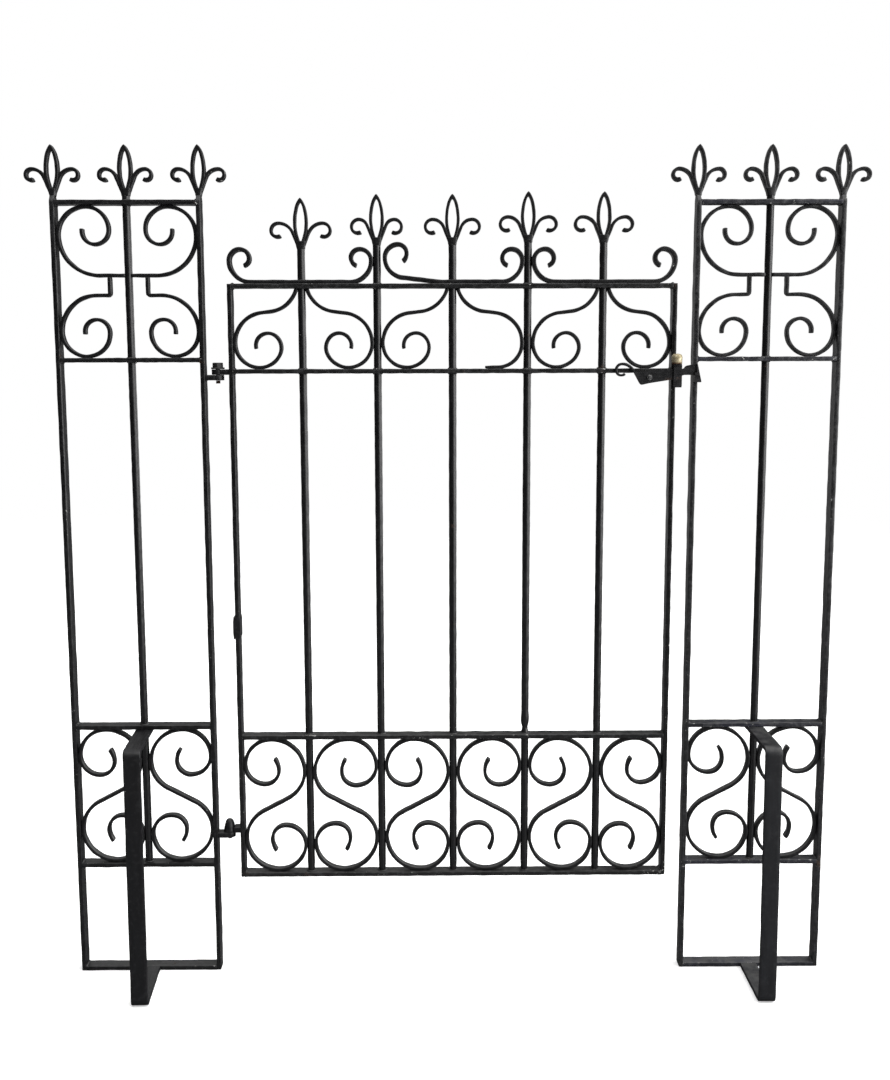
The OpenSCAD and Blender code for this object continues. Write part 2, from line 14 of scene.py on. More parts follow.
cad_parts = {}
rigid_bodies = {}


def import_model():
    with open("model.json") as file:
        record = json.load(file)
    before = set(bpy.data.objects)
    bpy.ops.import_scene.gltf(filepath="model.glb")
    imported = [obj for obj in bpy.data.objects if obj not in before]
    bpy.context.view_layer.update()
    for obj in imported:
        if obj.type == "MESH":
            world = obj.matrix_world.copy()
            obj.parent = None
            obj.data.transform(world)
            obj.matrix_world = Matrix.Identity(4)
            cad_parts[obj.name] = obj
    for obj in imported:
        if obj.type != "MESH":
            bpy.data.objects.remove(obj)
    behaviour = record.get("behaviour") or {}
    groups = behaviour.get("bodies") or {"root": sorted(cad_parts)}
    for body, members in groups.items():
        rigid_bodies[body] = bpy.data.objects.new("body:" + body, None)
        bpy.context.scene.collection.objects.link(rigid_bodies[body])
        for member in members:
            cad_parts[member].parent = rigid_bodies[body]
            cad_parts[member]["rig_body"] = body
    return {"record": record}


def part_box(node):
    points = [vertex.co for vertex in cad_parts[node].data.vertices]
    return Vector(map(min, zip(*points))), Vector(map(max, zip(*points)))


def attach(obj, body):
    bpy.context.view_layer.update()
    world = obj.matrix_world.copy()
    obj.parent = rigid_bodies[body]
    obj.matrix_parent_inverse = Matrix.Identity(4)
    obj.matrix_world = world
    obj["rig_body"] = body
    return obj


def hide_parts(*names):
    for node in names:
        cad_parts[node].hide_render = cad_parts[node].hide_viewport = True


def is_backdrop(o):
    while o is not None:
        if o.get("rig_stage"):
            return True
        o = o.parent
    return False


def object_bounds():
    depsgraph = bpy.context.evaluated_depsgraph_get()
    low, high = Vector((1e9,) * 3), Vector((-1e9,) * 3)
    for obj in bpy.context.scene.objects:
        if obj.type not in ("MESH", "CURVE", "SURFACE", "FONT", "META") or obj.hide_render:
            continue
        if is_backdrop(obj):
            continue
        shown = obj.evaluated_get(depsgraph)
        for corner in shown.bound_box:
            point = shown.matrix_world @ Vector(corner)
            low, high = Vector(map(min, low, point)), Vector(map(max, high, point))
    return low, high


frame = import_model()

MM = 0.001
cad_low, cad_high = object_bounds()
body_of = {node: body for body, nodes in frame["record"]["behaviour"]["bodies"].items() for node in nodes}


# %% [markdown]
# ## Where things are
# A maker reads sizes off the drawing. Here the drawing is the CAD model: each node's box gives the middle of
# a post or the two faces of a rail, so that no place is typed twice. Old paint lies thick on every bar, so
# each drawn bar is its CAD solid with a coat of paint on all sides.

# %% Read the boxes
def box_mm(node):
    """Lowest and highest corner of a CAD node, in millimetres."""
    low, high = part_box(node)
    return np.array(low) / MM, np.array(high) / MM


def size_mm(node):
    """How wide, deep and tall a CAD node is."""
    low, high = box_mm(node)
    return high - low


def middle_x(node):
    """Middle line of an upright."""
    low, high = box_mm(node)
    return (low[0] + high[0]) / 2


def rail_z(node):
    """Under and upper face of a rail."""
    low, high = box_mm(node)
    return low[2], high[2]


flat_t, flat_w = size_mm("hinge_post")[:2]
bar_d = size_mm("left_middle_bar")[0]
strip_t, strip_w = 5.5, 12.0
crest_t, crest_w = 6.5, 18.0
COAT = 0.3
weld_gap = 0.1
gate_low, gate_high = box_mm("gate_bars")
gate_xs = np.linspace(gate_low[0] + bar_d / 2, gate_high[0] - bar_d / 2, 5)
stile_l, stile_r = middle_x("hinge_stile"), middle_x("latch_stile")
print(f"flat bar {flat_t:.1f} x {flat_w:.1f} mm, round bar {bar_d:.1f} mm, gate bars at", gate_xs.round(1))

# %% [markdown]
# ## Surfaces as rings
# Almost every piece of a gate is a bar with a constant cut end, bent along a line. So one recipe makes nearly
# all of it: a cut end (the section) is carried along a line, and each stop along the line gives one ring of
# points. Neighbouring rings are joined by four-sided faces, and the first and last rings get a lid. A curve
# with a bevel could do this too, but rings let the smith's unevenness in: the section may swell, thin out or
# ripple at any stop.


# %% Uneven surfaces
def ripple(points, length, seed, waves=9):
    """Sine waves in random directions, about length apart, added up: from about -1 to 1."""
    dice = np.random.default_rng(seed)
    way = dice.normal(size=(waves, 3))
    way *= (2 * np.pi / length * dice.uniform(0.6, 1.7, waves) / np.linalg.norm(way, axis=1))[:, None]
    return np.sin(points @ way.T + dice.uniform(0, 2 * np.pi, waves)).sum(-1) / math.sqrt(waves)


def bell(z, middle, reach):
    """1 at middle, falling off over reach."""
    return np.exp(-(((z - middle) / reach) ** 2))


print("ripple at a point:", ripple(np.zeros((1, 3)), 10.0, 1).round(2))


# %% Cut ends
def towards(angle):
    """Arrows of length 1 at these angles."""
    return np.stack([np.cos(angle), np.sin(angle)], -1)


def all_round(points):
    """That many angles of a full turn."""
    return np.linspace(0, 2 * np.pi, points, endpoint=False)


def oblong_section(wide=3, narrow=1, corner=3):
    """A rounded oblong as a pattern: point = reach x (half size - corner radius) + outward x corner radius.
    Returns reach, outward and how near each point is to a sharp corner."""
    outward = towards(np.radians(np.arange(4)[:, None] * 90 + np.linspace(0, 90, corner + 1)))
    signs = np.array([[1, 1], [-1, 1], [-1, -1], [1, -1]], float)
    sharp = 1.0 - 0.6 * (abs(np.linspace(-1, 1, corner + 1)) > 0.99)
    reach, out, edge = [], [], []
    for k, between in enumerate((narrow, wide, narrow, wide)):
        share = np.linspace(0, 1, between + 2)[1:-1, None]
        straight = signs[k] * (1 - share) + signs[(k + 1) % 4] * share
        reach += [np.repeat(signs[k : k + 1], corner + 1, 0), straight]
        out += [outward[k], np.repeat(outward[k][-1:], between, 0)]
        edge += [sharp, np.zeros(between)]
    return np.concatenate(reach), np.concatenate(out), np.concatenate(edge)


def round_section(points=18):
    """A circle in the same pattern: no reach, and outward all the way round."""
    return np.zeros((points, 2)), towards(all_round(points)), np.zeros(points)


print("an oblong section has", len(oblong_section()[0]), "points, a round one", len(round_section()[0]))


# %% Lines to carry them along
def trace(steps, start=(0, 0), heading=0.0, gap=3.0, blunt=1.2):
    """A line made of straights [length, 0] and arcs [radius, turn in degrees], left turns positive.
    Along an arc of curvature k, a stop at distance u stands at the arc's start plus a chord of
    u x sin(ku/2)/(ku/2), in the direction heading + ku/2. Returns stops, headings and distances."""
    size, turn = np.array(steps, float).T
    turn = np.radians(turn)
    length = np.where(turn == 0, size, size * abs(turn))
    bend = turn / length
    begin = np.concatenate([[0], np.cumsum(length)])
    facing = math.radians(heading) + np.concatenate([[0], np.cumsum(turn)])
    chord = length * np.sinc(turn / 2 / np.pi)
    way = chord[:, None] * towards(facing[:-1] + turn / 2)
    corner = np.array(start, float) + np.concatenate([[[0, 0]], np.cumsum(way, 0)])
    total = begin[-1]
    ends = np.array([0, 0.14, 0.5, 1.0]) * blunt
    s = np.concatenate([np.linspace(0, total, max(3, math.ceil(total / gap) + 1)), ends, total - ends])
    s = np.unique(s.round(4))
    k = np.clip(np.searchsorted(begin, s, side="right") - 1, 0, len(size) - 1)
    u = s - begin[k]
    walk = u * np.sinc(bend[k] * u / 2 / np.pi)
    stops = corner[k] + walk[:, None] * towards(facing[k] + bend[k] * u / 2)
    return stops, facing[k] + bend[k] * u, s


def flipped(line, x):
    """The same line seen in a mirror that stands at x."""
    stops, facing, s = line
    return np.stack([2 * x - stops[:, 0], stops[:, 1]], 1), np.pi - facing, s


def joined(first, second):
    """One line: first walked backwards to its start, then second from the same start."""
    stops = np.concatenate([first[0][:0:-1], second[0]])
    facing = np.concatenate([first[1][:0:-1] + np.pi, second[1]])
    s = np.concatenate([first[2][-1] - first[2][:0:-1], first[2][-1] + second[2]])
    return stops, facing, s


def to_end(line):
    """How far each stop is from the nearer end of its line."""
    return np.minimum(line[2], line[2][-1] - line[2])


print("a quarter turn of radius 10 is", trace([[10, 90]])[2][-1].round(2), "mm long")

# %% Carry a section along a line
GATE_PLANE = (np.array([1.0, 0, 0]), np.array([0, 0, 1.0]))
FLOOR_PLANE = (np.array([1.0, 0, 0]), np.array([0, 1.0, 0]))


def bar(line, t, w, plane=GATE_PLANE, at=(0, 0, 0), section=None, corner=0.9, blunt=1.2,
        lump=0.18, lump_length=26.0, loop=False, seed=0, coat=COAT):
    """Carries a section along a line that lies in a plane. t is the thickness across the line in that
    plane, w the width square to the plane, each one number or one for every stop, and the coat of paint adds
    its own thickness on every side. Near a free end both shrink by a quarter circle of radius blunt, so that
    the end is rounded over. Lumps ripple the skin."""
    stops, facing, s = line
    reach, outward, edge = section or oblong_section()
    right, up = plane
    deep = np.cross(right, up)
    left = np.cos(facing)[:, None] * up - np.sin(facing)[:, None] * right
    centre = np.array(at, float) + stops[:, :1] * right + stops[:, 1:] * up
    from_end = np.full(len(s), 1e3) if loop else to_end(line)
    round_over = blunt * (1 - np.sqrt(1 - np.clip(1 - from_end / max(blunt, 1e-6), 0, 1) ** 2))
    half = np.stack([np.broadcast_to(t, s.shape), np.broadcast_to(w, s.shape)], 1) / 2
    half = half + coat - round_over[:, None]
    if reach.any():
        radius = np.minimum(corner, half.min(1) * 0.98)
        flat = reach[None] * (half - radius[:, None])[:, None] + outward[None] * radius[:, None, None]
    else:
        flat = outward[None] * half[:, None]
    rings = centre[:, None] + flat[..., :1] * left[:, None] + flat[..., 1:] * deep
    push = outward[None, :, :1] * left[:, None] + outward[None, :, 1:] * deep
    swell = lump * ripple(rings, lump_length, seed) * (half.min(1) > blunt)[:, None]
    rings = rings + push * swell[..., None]
    girth = np.linalg.norm(np.diff(flat[len(s) // 2], axis=0, append=flat[len(s) // 2][:1]), axis=1)
    return dict(rings=rings, edge=np.broadcast_to(edge, rings.shape[:2]), loop=loop,
                round=np.concatenate([[0], np.cumsum(girth)]), along=s)


print("a bar is a stack of rings:", bar(trace([[100, 0]]), flat_t, flat_w)["rings"].shape)


# %% [markdown]
# A turned piece, such as a washer, a nut or a knob, is the same idea with the line standing straight up:
# each stop has its own radius. A nut's radius also changes round the ring, which makes its six flats.


# %% Turned pieces
def turned(profile, at, up=(0, 0, 1), sides=0, points=28, lump=0.05, seed=0):
    """profile is [[radius, height], ...] from bottom to top, turned about a line through at. With sides, the
    radius is cut back to a polygon: flat distance / cos(angle from the nearest flat's middle)."""
    radius, height = np.array(profile, float).T
    turn = all_round(points)
    up = np.array(up, float)
    right = np.cross([0, 1.0, 0], up) if abs(up[1]) < 0.9 else np.array([1.0, 0, 0])
    ahead = np.cross(up, right)
    r = np.repeat(radius[:, None], points, 1)
    if sides:
        wedge = (turn + np.pi / sides) % (2 * np.pi / sides) - np.pi / sides
        r = np.minimum(r, radius.max() * math.cos(np.pi / sides) / np.cos(wedge))
    rings = (np.array(at, float) + height[:, None, None] * up
             + r[..., None] * (np.cos(turn)[:, None] * right + np.sin(turn)[:, None] * ahead))
    rings = rings + lump * ripple(rings, 9.0, seed)[..., None] * (rings - rings.mean(1, keepdims=True)) / 8
    along = np.concatenate([[0], np.cumsum(np.hypot(np.diff(radius), np.diff(height)))])
    edge = np.zeros(len(radius))
    edge[1:-1] = 0.5
    return dict(rings=rings, edge=np.broadcast_to(edge[:, None], rings.shape[:2]), loop=False,
                round=np.linspace(0, 2 * np.pi * radius.max(), points + 1), along=along)


def pad(at, half_x, half_y, half_z, seed):
    """A flattened blob of weld: circles along Y whose radius follows a half circle, stretched in X and Z."""
    share = np.array([-0.94, -0.66, 0.0, 0.66, 0.94])
    turn = all_round(10)
    size = np.sqrt(1 - share**2)[:, None]
    rings = np.stack([half_x * size * np.cos(turn), np.broadcast_to(half_y * share[:, None], (5, 10)),
                      half_z * size * -np.sin(turn)], -1) + np.array(at, float)
    rings = rings + 0.35 * ripple(rings, 7.0, seed)[..., None] * np.sign(rings - np.array(at)) * 0.5
    return dict(rings=rings, edge=np.zeros((5, 10)), loop=False,
                round=np.linspace(0, 6 * half_z, 11), along=share * half_y)


print("a pad of weld has", 4 * 10 + 2, "faces")

# %% [markdown]
# ## From rings to a mesh
# A piece may hold many bars. Their rings are put into one mesh with whole arrays, together with what the
# paint needs to know: how far along and round the bar each corner lies (a UV map in metres), how near a
# sharp edge it is, and how near a weld. Paint chips first at edges and welds, so both are kept as attributes.


# %% Make a mesh
def closeness(points, welds, reach=11.0):
    """1 at a weld, falling off as a bell over reach millimetres; the nearest weld counts."""
    if not len(welds):
        return np.zeros(len(points))
    square = (points**2).sum(1)[:, None] + (welds**2).sum(1) - 2 * points @ welds.T
    return np.exp(-np.maximum(square.min(1), 0) / reach**2)


def tube_faces(tube, first):
    """One tube's faces, quads and then the two lids, and the map of their corners."""
    n, m = tube["rings"].shape[:2]
    girth, along = tube["round"], tube["along"]
    index = first + np.arange(n * m).reshape(n, m)
    here = index if tube["loop"] else index[:-1]
    there = np.roll(index, -1, 0) if tube["loop"] else index[1:]
    quads = np.stack([here, np.roll(here, -1, 1), np.roll(there, -1, 1), there], -1).reshape(-1, 4)
    lids = [] if tube["loop"] else [index[0, ::-1], index[-1]]
    a, b = np.broadcast_arrays(girth[None, :-1], along[: len(here), None])
    c, d = np.broadcast_arrays(girth[None, 1:], np.append(along, along[-1] + 3)[1 : len(here) + 1, None])
    uv = np.stack([a, b, c, b, c, d, a, d], -1).reshape(-1, 2)
    lid_uv = [np.stack([girth[:-1], np.full(m, along[0])], 1)] * len(lids)
    return quads.tolist() + [lid.tolist() for lid in lids], np.concatenate([uv] + lid_uv)


def new_piece(name, points, faces, uv, edge, near):
    """One smooth object, with its map and its two attributes."""
    mesh = bpy.data.meshes.new(name)
    mesh.from_pydata((points * MM).tolist(), [], faces)
    mesh.uv_layers.new(name="run").data.foreach_set("uv", (uv * MM).ravel())
    for label, values in (("on_edge", edge), ("near_weld", near)):
        mesh.attributes.new(label, "FLOAT", "POINT").data.foreach_set("value", values.astype(np.float32))
    mesh.validate()
    mesh.shade_smooth()
    piece = bpy.data.objects.new(name, mesh)
    bpy.context.scene.collection.objects.link(piece)
    return piece


def skin(name, tubes, welds=()):
    """One object from many tubes. Points that a lump pushed past the CAD model's box are brought back."""
    points = np.concatenate([tube["rings"].reshape(-1, 3) for tube in tubes])
    points = np.clip(points, np.array(cad_low) / MM, np.array(cad_high) / MM)
    edge = np.concatenate([tube["edge"].ravel() for tube in tubes])
    faces, uvs, first = [], [], 0
    for tube in tubes:
        more, uv = tube_faces(tube, first)
        faces += more
        uvs.append(uv)
        first += tube["edge"].size
    near = closeness(points, np.array(welds, float).reshape(-1, 3))
    return new_piece(name, points, faces, np.concatenate(uvs), edge, near)


finishes, made = {}, {}


def adopt(piece, node, finish, slot="worn_black_iron"):
    """Lets a piece stand for one CAD node: it gets the finish, rides on the node's body and hides the node.
    slot is not used.
    """
    piece.data.materials.append(finishes[finish])
    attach(piece, body_of[node])
    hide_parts(node)
    made[node] = piece


def stand_for(node, tubes, finish, welds=(), **slot):
    """A worn piece made of tubes, in place of a CAD node."""
    adopt(skin("worn_" + node, tubes, welds), node, finish, **slot)


print("pieces are kept inside a box of", (np.subtract(cad_high, cad_low) / MM).round(), "mm")

# %% [markdown]
# ## Where the welds are
# The gate was put together with a stick welder: a short bead in each corner where a rail meets an upright, a
# ring of weld round a bar where it passes through a rail, and a blob where a scroll touches. The places
# follow from the boxes: every rail crosses every upright of its own frame.

# %% Crossings
GATE_RAILS = [f"gate_{place}_rail" for place in ("bottom", "lower", "middle", "top")]
PANELS = {
    "left": ("left_outer_post", "left_middle_bar", "hinge_post"),
    "right": ("latch_post", "right_middle_bar", "right_outer_post"),
}
RAIL_ORDER = ("base_bar", "kick_rail", "lower_rail", "middle_rail", "top_rail")


def grid_points(xs, rails):
    """Every x with the middle of every rail, in the plane of the gate."""
    zs = [np.mean(rail_z(rail)) for rail in rails]
    return np.array([[x, y, z] for x in xs for z in zs for y in (-flat_w / 2, 0, flat_w / 2)])


gate_welds = grid_points([stile_l, stile_r, *gate_xs], GATE_RAILS)
panel_rails = {side: [f"{side}_{rail}" for rail in RAIL_ORDER] for side in PANELS}
panel_welds = {side: grid_points([middle_x(u) for u in PANELS[side]], panel_rails[side]) for side in PANELS}
frame_welds = np.concatenate(list(panel_welds.values()))
print(len(gate_welds) // 3, "crossings on the gate,", len(frame_welds) // 3, "on the panels")


# %% [markdown]
# ## Paint, chips, rust and dust
# The gate wears many coats of black paint. A single black would look like plastic, so the paint is made of
# effects that lie over each other: hammer marks under it, a rubbed grey where hands and weather reach, rust
# that blooms at the welds, small chips down to an old pale coat, and dust on whatever faces up. Each effect
# is a node group with its own inputs, and every finish places the groups it needs.


# %% A bench for nodes
class Bench:
    """A node tree to build on, with short calls for the nodes that the effects are made of."""

    def __init__(self, tree):
        self.tree = tree

    def feed(self, socket, value):
        """Links another node's output, or sets a plain value."""
        if isinstance(value, bpy.types.NodeSocket):
            self.tree.links.new(value, socket)
        else:
            socket.default_value = value

    def put(self, kind, settings=None, places=None, **sockets):
        """A new node, its sockets filled by name or by place; returns its outputs."""
        node = self.tree.nodes.new("ShaderNode" + kind)
        for key, value in (settings or {}).items():
            setattr(node, key, value)
        for key, value in (places or {}).items():
            self.feed(node.inputs[key], value)
        for key, value in sockets.items():
            self.feed(node.inputs[key.replace("_", " ")], value)
        return node.outputs

    def reckon(self, operation, *values):
        """One sum after another, from the left."""
        result = values[0]
        for value in values[1:]:
            result = self.put("Math", dict(operation=operation), {0: result, 1: value})[0]
        return result

    def add(self, *values):
        return self.reckon("ADD", *values)

    def times(self, *values):
        return self.reckon("MULTIPLY", *values)

    def less(self, *values):
        return self.reckon("SUBTRACT", *values)

    def ease(self, value, low, high, to_low=0.0, to_high=1.0):
        """Spreads low..high over to_low..to_high, with soft ends."""
        return self.put("MapRange", dict(interpolation_type="SMOOTHSTEP"), Value=value, From_Min=low,
                        From_Max=high, To_Min=to_low, To_Max=to_high)["Result"]

    def over(self, mask, under, top):
        """Lays one colour over another where the mask is 1."""
        return self.put("Mix", dict(data_type="RGBA"), {0: mask, 6: under, 7: top})[2]

    def speckle(self, vector, scale, detail, rough=0.6):
        """Cloudy noise from about 0.3 to 0.7; scale is in lumps to the metre."""
        return self.put("TexNoise", Vector=vector, Scale=scale, Detail=detail, Roughness=rough)["Fac"]

    def effect(self, name, **sockets):
        """One of the groups below, placed and filled."""
        return self.put("Group", dict(node_tree=bpy.data.node_groups[name]), **sockets)


def new_effect(name, takes, gives):
    """An empty node group. An input that starts from None takes places; an output named Colour gives colours,
    and every other socket is a number."""
    tree = bpy.data.node_groups.new(name, "ShaderNodeTree")
    for label, start in takes.items():
        kind = "NodeSocketVector" if start is None else "NodeSocketFloat"
        socket = tree.interface.new_socket(label, in_out="INPUT", socket_type=kind)
        if start is not None:
            socket.default_value = start
    for label in gives:
        kind = "NodeSocketColor" if label == "Colour" else "NodeSocketFloat"
        tree.interface.new_socket(label, in_out="OUTPUT", socket_type=kind)
    print("effect", name, "gives", *gives)
    return Bench(tree), tree.nodes.new("NodeGroupInput").outputs, tree.nodes.new("NodeGroupOutput").inputs


# %% [markdown]
# The hammer leaves shallow dishes about a centimetre across, and scale leaves a fine grain. Smooth cells give
# the dishes and noise gives the grain; together they are one height for a bump.

# %% Hammer marks and grain
bench, take, give = new_effect(
    "hammer_marks", {"Place": None, "Dish Count": 90.0, "Dish Depth": 0.5, "Grain Depth": 0.25}, ["Height"])
cells = bench.put("TexVoronoi", dict(feature="SMOOTH_F1"), Vector=take["Place"], Scale=take["Dish Count"],
                  Smoothness=0.8)
dishes = bench.times(cells["Distance"], take["Dish Depth"])
grain = bench.times(bench.speckle(take["Place"], 700.0, 3.0), take["Grain Depth"])
bench.feed(give["Height"], bench.add(dishes, grain))

# %% [markdown]
# Paint chips are small and sharp sided. Noise is cut at a level, and the level drops where an edge or a weld
# is near, so that chips crowd there and stay rare on the flats.

# %% Chipped paint
bench, take, give = new_effect(
    "paint_chips", {"Place": None, "Count": 160.0, "Cover": 0.3, "Edge": 0.0, "Weld": 0.0}, ["Bare"])
flecks = bench.speckle(take["Place"], take["Count"], 5.0, 0.68)
patches = bench.less(bench.speckle(take["Place"], 9.0, 2.0, 0.5), 0.5)
lift = bench.add(bench.times(take["Edge"], 0.07), bench.times(take["Weld"], 0.06), bench.times(patches, 0.35))
bench.feed(give["Bare"], bench.ease(bench.add(bench.add(flecks, lift), take["Cover"]), 1.0, 1.025))

# %% [markdown]
# Rust starts under the paint, at welds and in crevices, and stains the coat round it before it comes through.
# One cloudy noise gives the mask, and a finer one mottles the colour from dark to light brown.

# %% Rust
bench, take, give = new_effect(
    "rust_bloom", {"Place": None, "Count": 40.0, "Cover": 0.3, "Weld": 0.0}, ["Rust", "Colour"])
cloud = bench.speckle(take["Place"], take["Count"], 6.0, 0.65)
level = bench.add(cloud, bench.times(take["Weld"], 0.08), take["Cover"])
bench.feed(give["Rust"], bench.ease(level, 0.94, 1.06))
spots = bench.ease(bench.speckle(take["Place"], 420.0, 3.0, 0.7), 0.4, 0.62)
bench.feed(give["Colour"], bench.over(spots, (0.010, 0.0065, 0.005, 1), (0.07, 0.032, 0.016, 1)))

# %% [markdown]
# Dust lies on faces that look up, thickest where they are level, and in cloudy drifts. The upward part of the
# surface's direction is all it takes.

# %% Dust
bench, take, give = new_effect("settled_dust", {"Place": None, "Amount": 0.5}, ["Dust"])
upward = bench.put("SeparateXYZ", Vector=bench.put("NewGeometry")["Normal"])["Z"]
drift = bench.ease(bench.speckle(take["Place"], 55.0, 4.0, 0.6), 0.32, 0.66)
bench.feed(give["Dust"], bench.times(bench.ease(upward, 0.25, 0.95), drift, take["Amount"]))

# %% [markdown]
# A brush leaves long streaks that follow the bar round every bend. They need the piece's own map: noise
# stretched nearly thirty times along the bar stays with it where plain coordinates would cut across.

# %% Brush streaks
bench, take, give = new_effect("brush_streaks", {"Run": None, "Count": 420.0}, ["Streak"])
squeezed = bench.put("Mapping", Vector=take["Run"], Scale=(1.0, 0.035, 1.0))["Vector"]
bench.feed(give["Streak"], bench.ease(bench.speckle(squeezed, take["Count"], 3.0, 0.6), 0.3, 0.7))


# %% [markdown]
# ## The finishes
# Every painted finish is the same recipe with other amounts: coat, streaks, rubbed edges, dust, rust and
# chips, in the order in which a real surface gets them.


# %% Painted iron
def new_finish(name):
    """An empty material; returns its bench, its shader's inputs and the place on the piece. Two of the CAD
    model's materials have names that are used here too, so the finishes are kept in a table of their own."""
    finish = finishes[name] = bpy.data.materials.new(name)
    finish.use_nodes = True
    bench = Bench(finish.node_tree)
    return bench, finish.node_tree.nodes["Principled BSDF"].inputs, bench.put("TexCoord")["Object"]


def painted_iron(name, coat, rubbed=(0.07, 0.07, 0.074), rub=0.35, chips=0.27, rust=0.28, dust=0.5,
                 gloss=0.36, dishes=0.5, grain=0.25, brushed=1.9, shine=0.5):
    """Black paint over iron; the numbers are amounts of each effect, gloss is the coat's roughness, brushed
    is how many times paler than the coat a brush streak is, and shine is how strongly a face seen square on
    reflects. Worn paint scatters light at its rims, so the shine fades where a face turns away."""
    bench, shader, place = new_finish(name)
    run = bench.put("UVMap", dict(uv_map="run"))["UV"]
    edge = bench.put("Attribute", dict(attribute_name="on_edge"))["Fac"]
    weld = bench.put("Attribute", dict(attribute_name="near_weld"))["Fac"]
    streak = bench.effect("brush_streaks", Run=run)["Streak"]
    cloud = bench.ease(bench.speckle(place, 14.0, 5.0, 0.6), 0.35, 0.65)
    tone = bench.over(bench.times(streak, cloud), (*coat, 1), (*(brushed * c for c in coat), 1))
    wear = bench.add(bench.speckle(place, 130.0, 4.0, 0.65), bench.times(edge, 0.12))
    tone = bench.over(bench.times(bench.ease(wear, 0.5, 0.68), rub), tone, (*rubbed, 1))
    settled = bench.effect("settled_dust", Place=place, Amount=dust)["Dust"]
    tone = bench.over(settled, tone, (0.075, 0.074, 0.072, 1))
    bloom = bench.effect("rust_bloom", Place=place, Cover=rust, Weld=weld)
    tone = bench.over(bloom["Rust"], tone, bloom["Colour"])
    flakes = bench.effect("paint_chips", Place=place, Count=170.0, Cover=chips, Edge=edge, Weld=weld)
    flaked = flakes["Bare"]
    bench.feed(shader["Base Color"], bench.over(flaked, tone, (0.42, 0.42, 0.4, 1)))
    matt = bench.times(bench.reckon("MAXIMUM", bloom["Rust"], flaked), 0.4)
    rough = bench.add(gloss, bench.times(streak, 0.14), bench.times(settled, 0.4), matt)
    bench.feed(shader["Roughness"], rough)
    rough.node.use_clamp = True
    turned_away = bench.put("LayerWeight", Blend=0.5)["Facing"]
    bench.feed(shader["Specular IOR Level"], bench.ease(turned_away, 0.35, 0.75, shine, 0.04))
    height = bench.effect("hammer_marks", Place=place, Dish_Depth=dishes, Grain_Depth=grain)["Height"]
    height = bench.add(bench.less(height, bench.times(flaked, 0.35)), bench.times(bloom["Rust"], 0.12))
    bench.feed(shader["Normal"], bench.put("Bump", Height=height, Strength=0.5, Distance=0.0012)["Normal"])


for name, coat, amounts in (
        ("black_paint_on_posts", (0.003, 0.003, 0.0032),
         dict(rub=0.16, dust=0.2, gloss=0.22, brushed=4, shine=0.42)),
        ("black_paint_on_rails", (0.0055, 0.0055, 0.0056), dict(chips=0.29, rub=0.34, gloss=0.3)),
        ("black_paint_on_bars", (0.0036, 0.0036, 0.004), dict(rub=0.12, gloss=0.22, dishes=0.35, brushed=3)),
        ("black_paint_on_scrolls", (0.0036, 0.0036, 0.004),
         dict(chips=0.25, rub=0.12, gloss=0.27, dishes=0.4)),
        # The left panel's rails get a darker coat than the gate's rails: painted shade on the side away from
        # the light.
        ("black_paint_on_left_rails", (0.0036, 0.0036, 0.0038),
         dict(chips=0.28, rub=0.2, dust=0.2, gloss=0.3, brushed=4, shine=0.4)),
        # Paler coats on the right panel are painted light from the right side; their higher rub, dust and
        # chip amounts are wear.
        ("scuffed_and_painted_light_right_posts", (0.0055, 0.0055, 0.006),
         dict(chips=0.285, rub=0.45, dust=0.35, gloss=0.26, brushed=4, shine=0.64)),
        ("scuffed_paint_on_right_rails", (0.0065, 0.0068, 0.0105),
         dict(chips=0.315, rub=0.65, dust=0.6, gloss=0.32, brushed=5, shine=0.58)),
        ("scuffed_and_painted_light_right_scrolls", (0.0045, 0.0045, 0.005), dict(chips=0.285, gloss=0.27)),
        ("black_paint_on_left_stay", (0.0034, 0.0034, 0.0042),
         dict(chips=0.24, rub=0.12, rust=0.25, dust=0.1, dishes=0.3, shine=0.4)),
        # The right stay's paler coat is painted light from the right side; its extra dust is wear.
        ("blue_black_and_painted_light_right_stay", (0.0062, 0.0066, 0.0084),
         dict(chips=0.24, rub=0.12, rust=0.25, dust=0.55, dishes=0.3, shine=0.48)),
        ("greasy_black_on_latch", (0.004, 0.004, 0.0048),
         dict(chips=0.24, rub=0.15, gloss=0.34, dishes=0.8, shine=0.4)),
        ("black_paint_on_welds", (0.005, 0.005, 0.0055), dict(chips=0.315, grain=0.5)),
        ("rusted_iron", (0.008, 0.007, 0.0065), dict(chips=0.22, rub=0.2, rust=0.42, gloss=0.5, grain=0.6)),
        ("worn_steel_stud", (0.02, 0.02, 0.022), dict(rubbed=(0.3, 0.3, 0.29), rub=0.9, chips=0.36))):
    painted_iron(name, coat, **amounts)
# Each panel takes its own copies of the paint: the darker left ones carry painted shade and the paler right
# ones painted light, as the light comes from the right.
PANEL_PAINT = {
    "left": dict(posts="black_paint_on_posts", rails="black_paint_on_left_rails",
                 scrolls="black_paint_on_scrolls", stay="black_paint_on_left_stay"),
    "right": dict(posts="scuffed_and_painted_light_right_posts", rails="scuffed_paint_on_right_rails",
                  scrolls="scuffed_and_painted_light_right_scrolls", stay="blue_black_and_painted_light_right_stay"),
}
print(len(finishes), "painted finishes from one recipe")

# %% [markdown]
# The knob is an old brass one. Brass that is never polished goes dull and creamy, darker in its hollows, with
# a line of rust where it stands on the iron. It is a metal with a high roughness, and dirt that isn't metal.

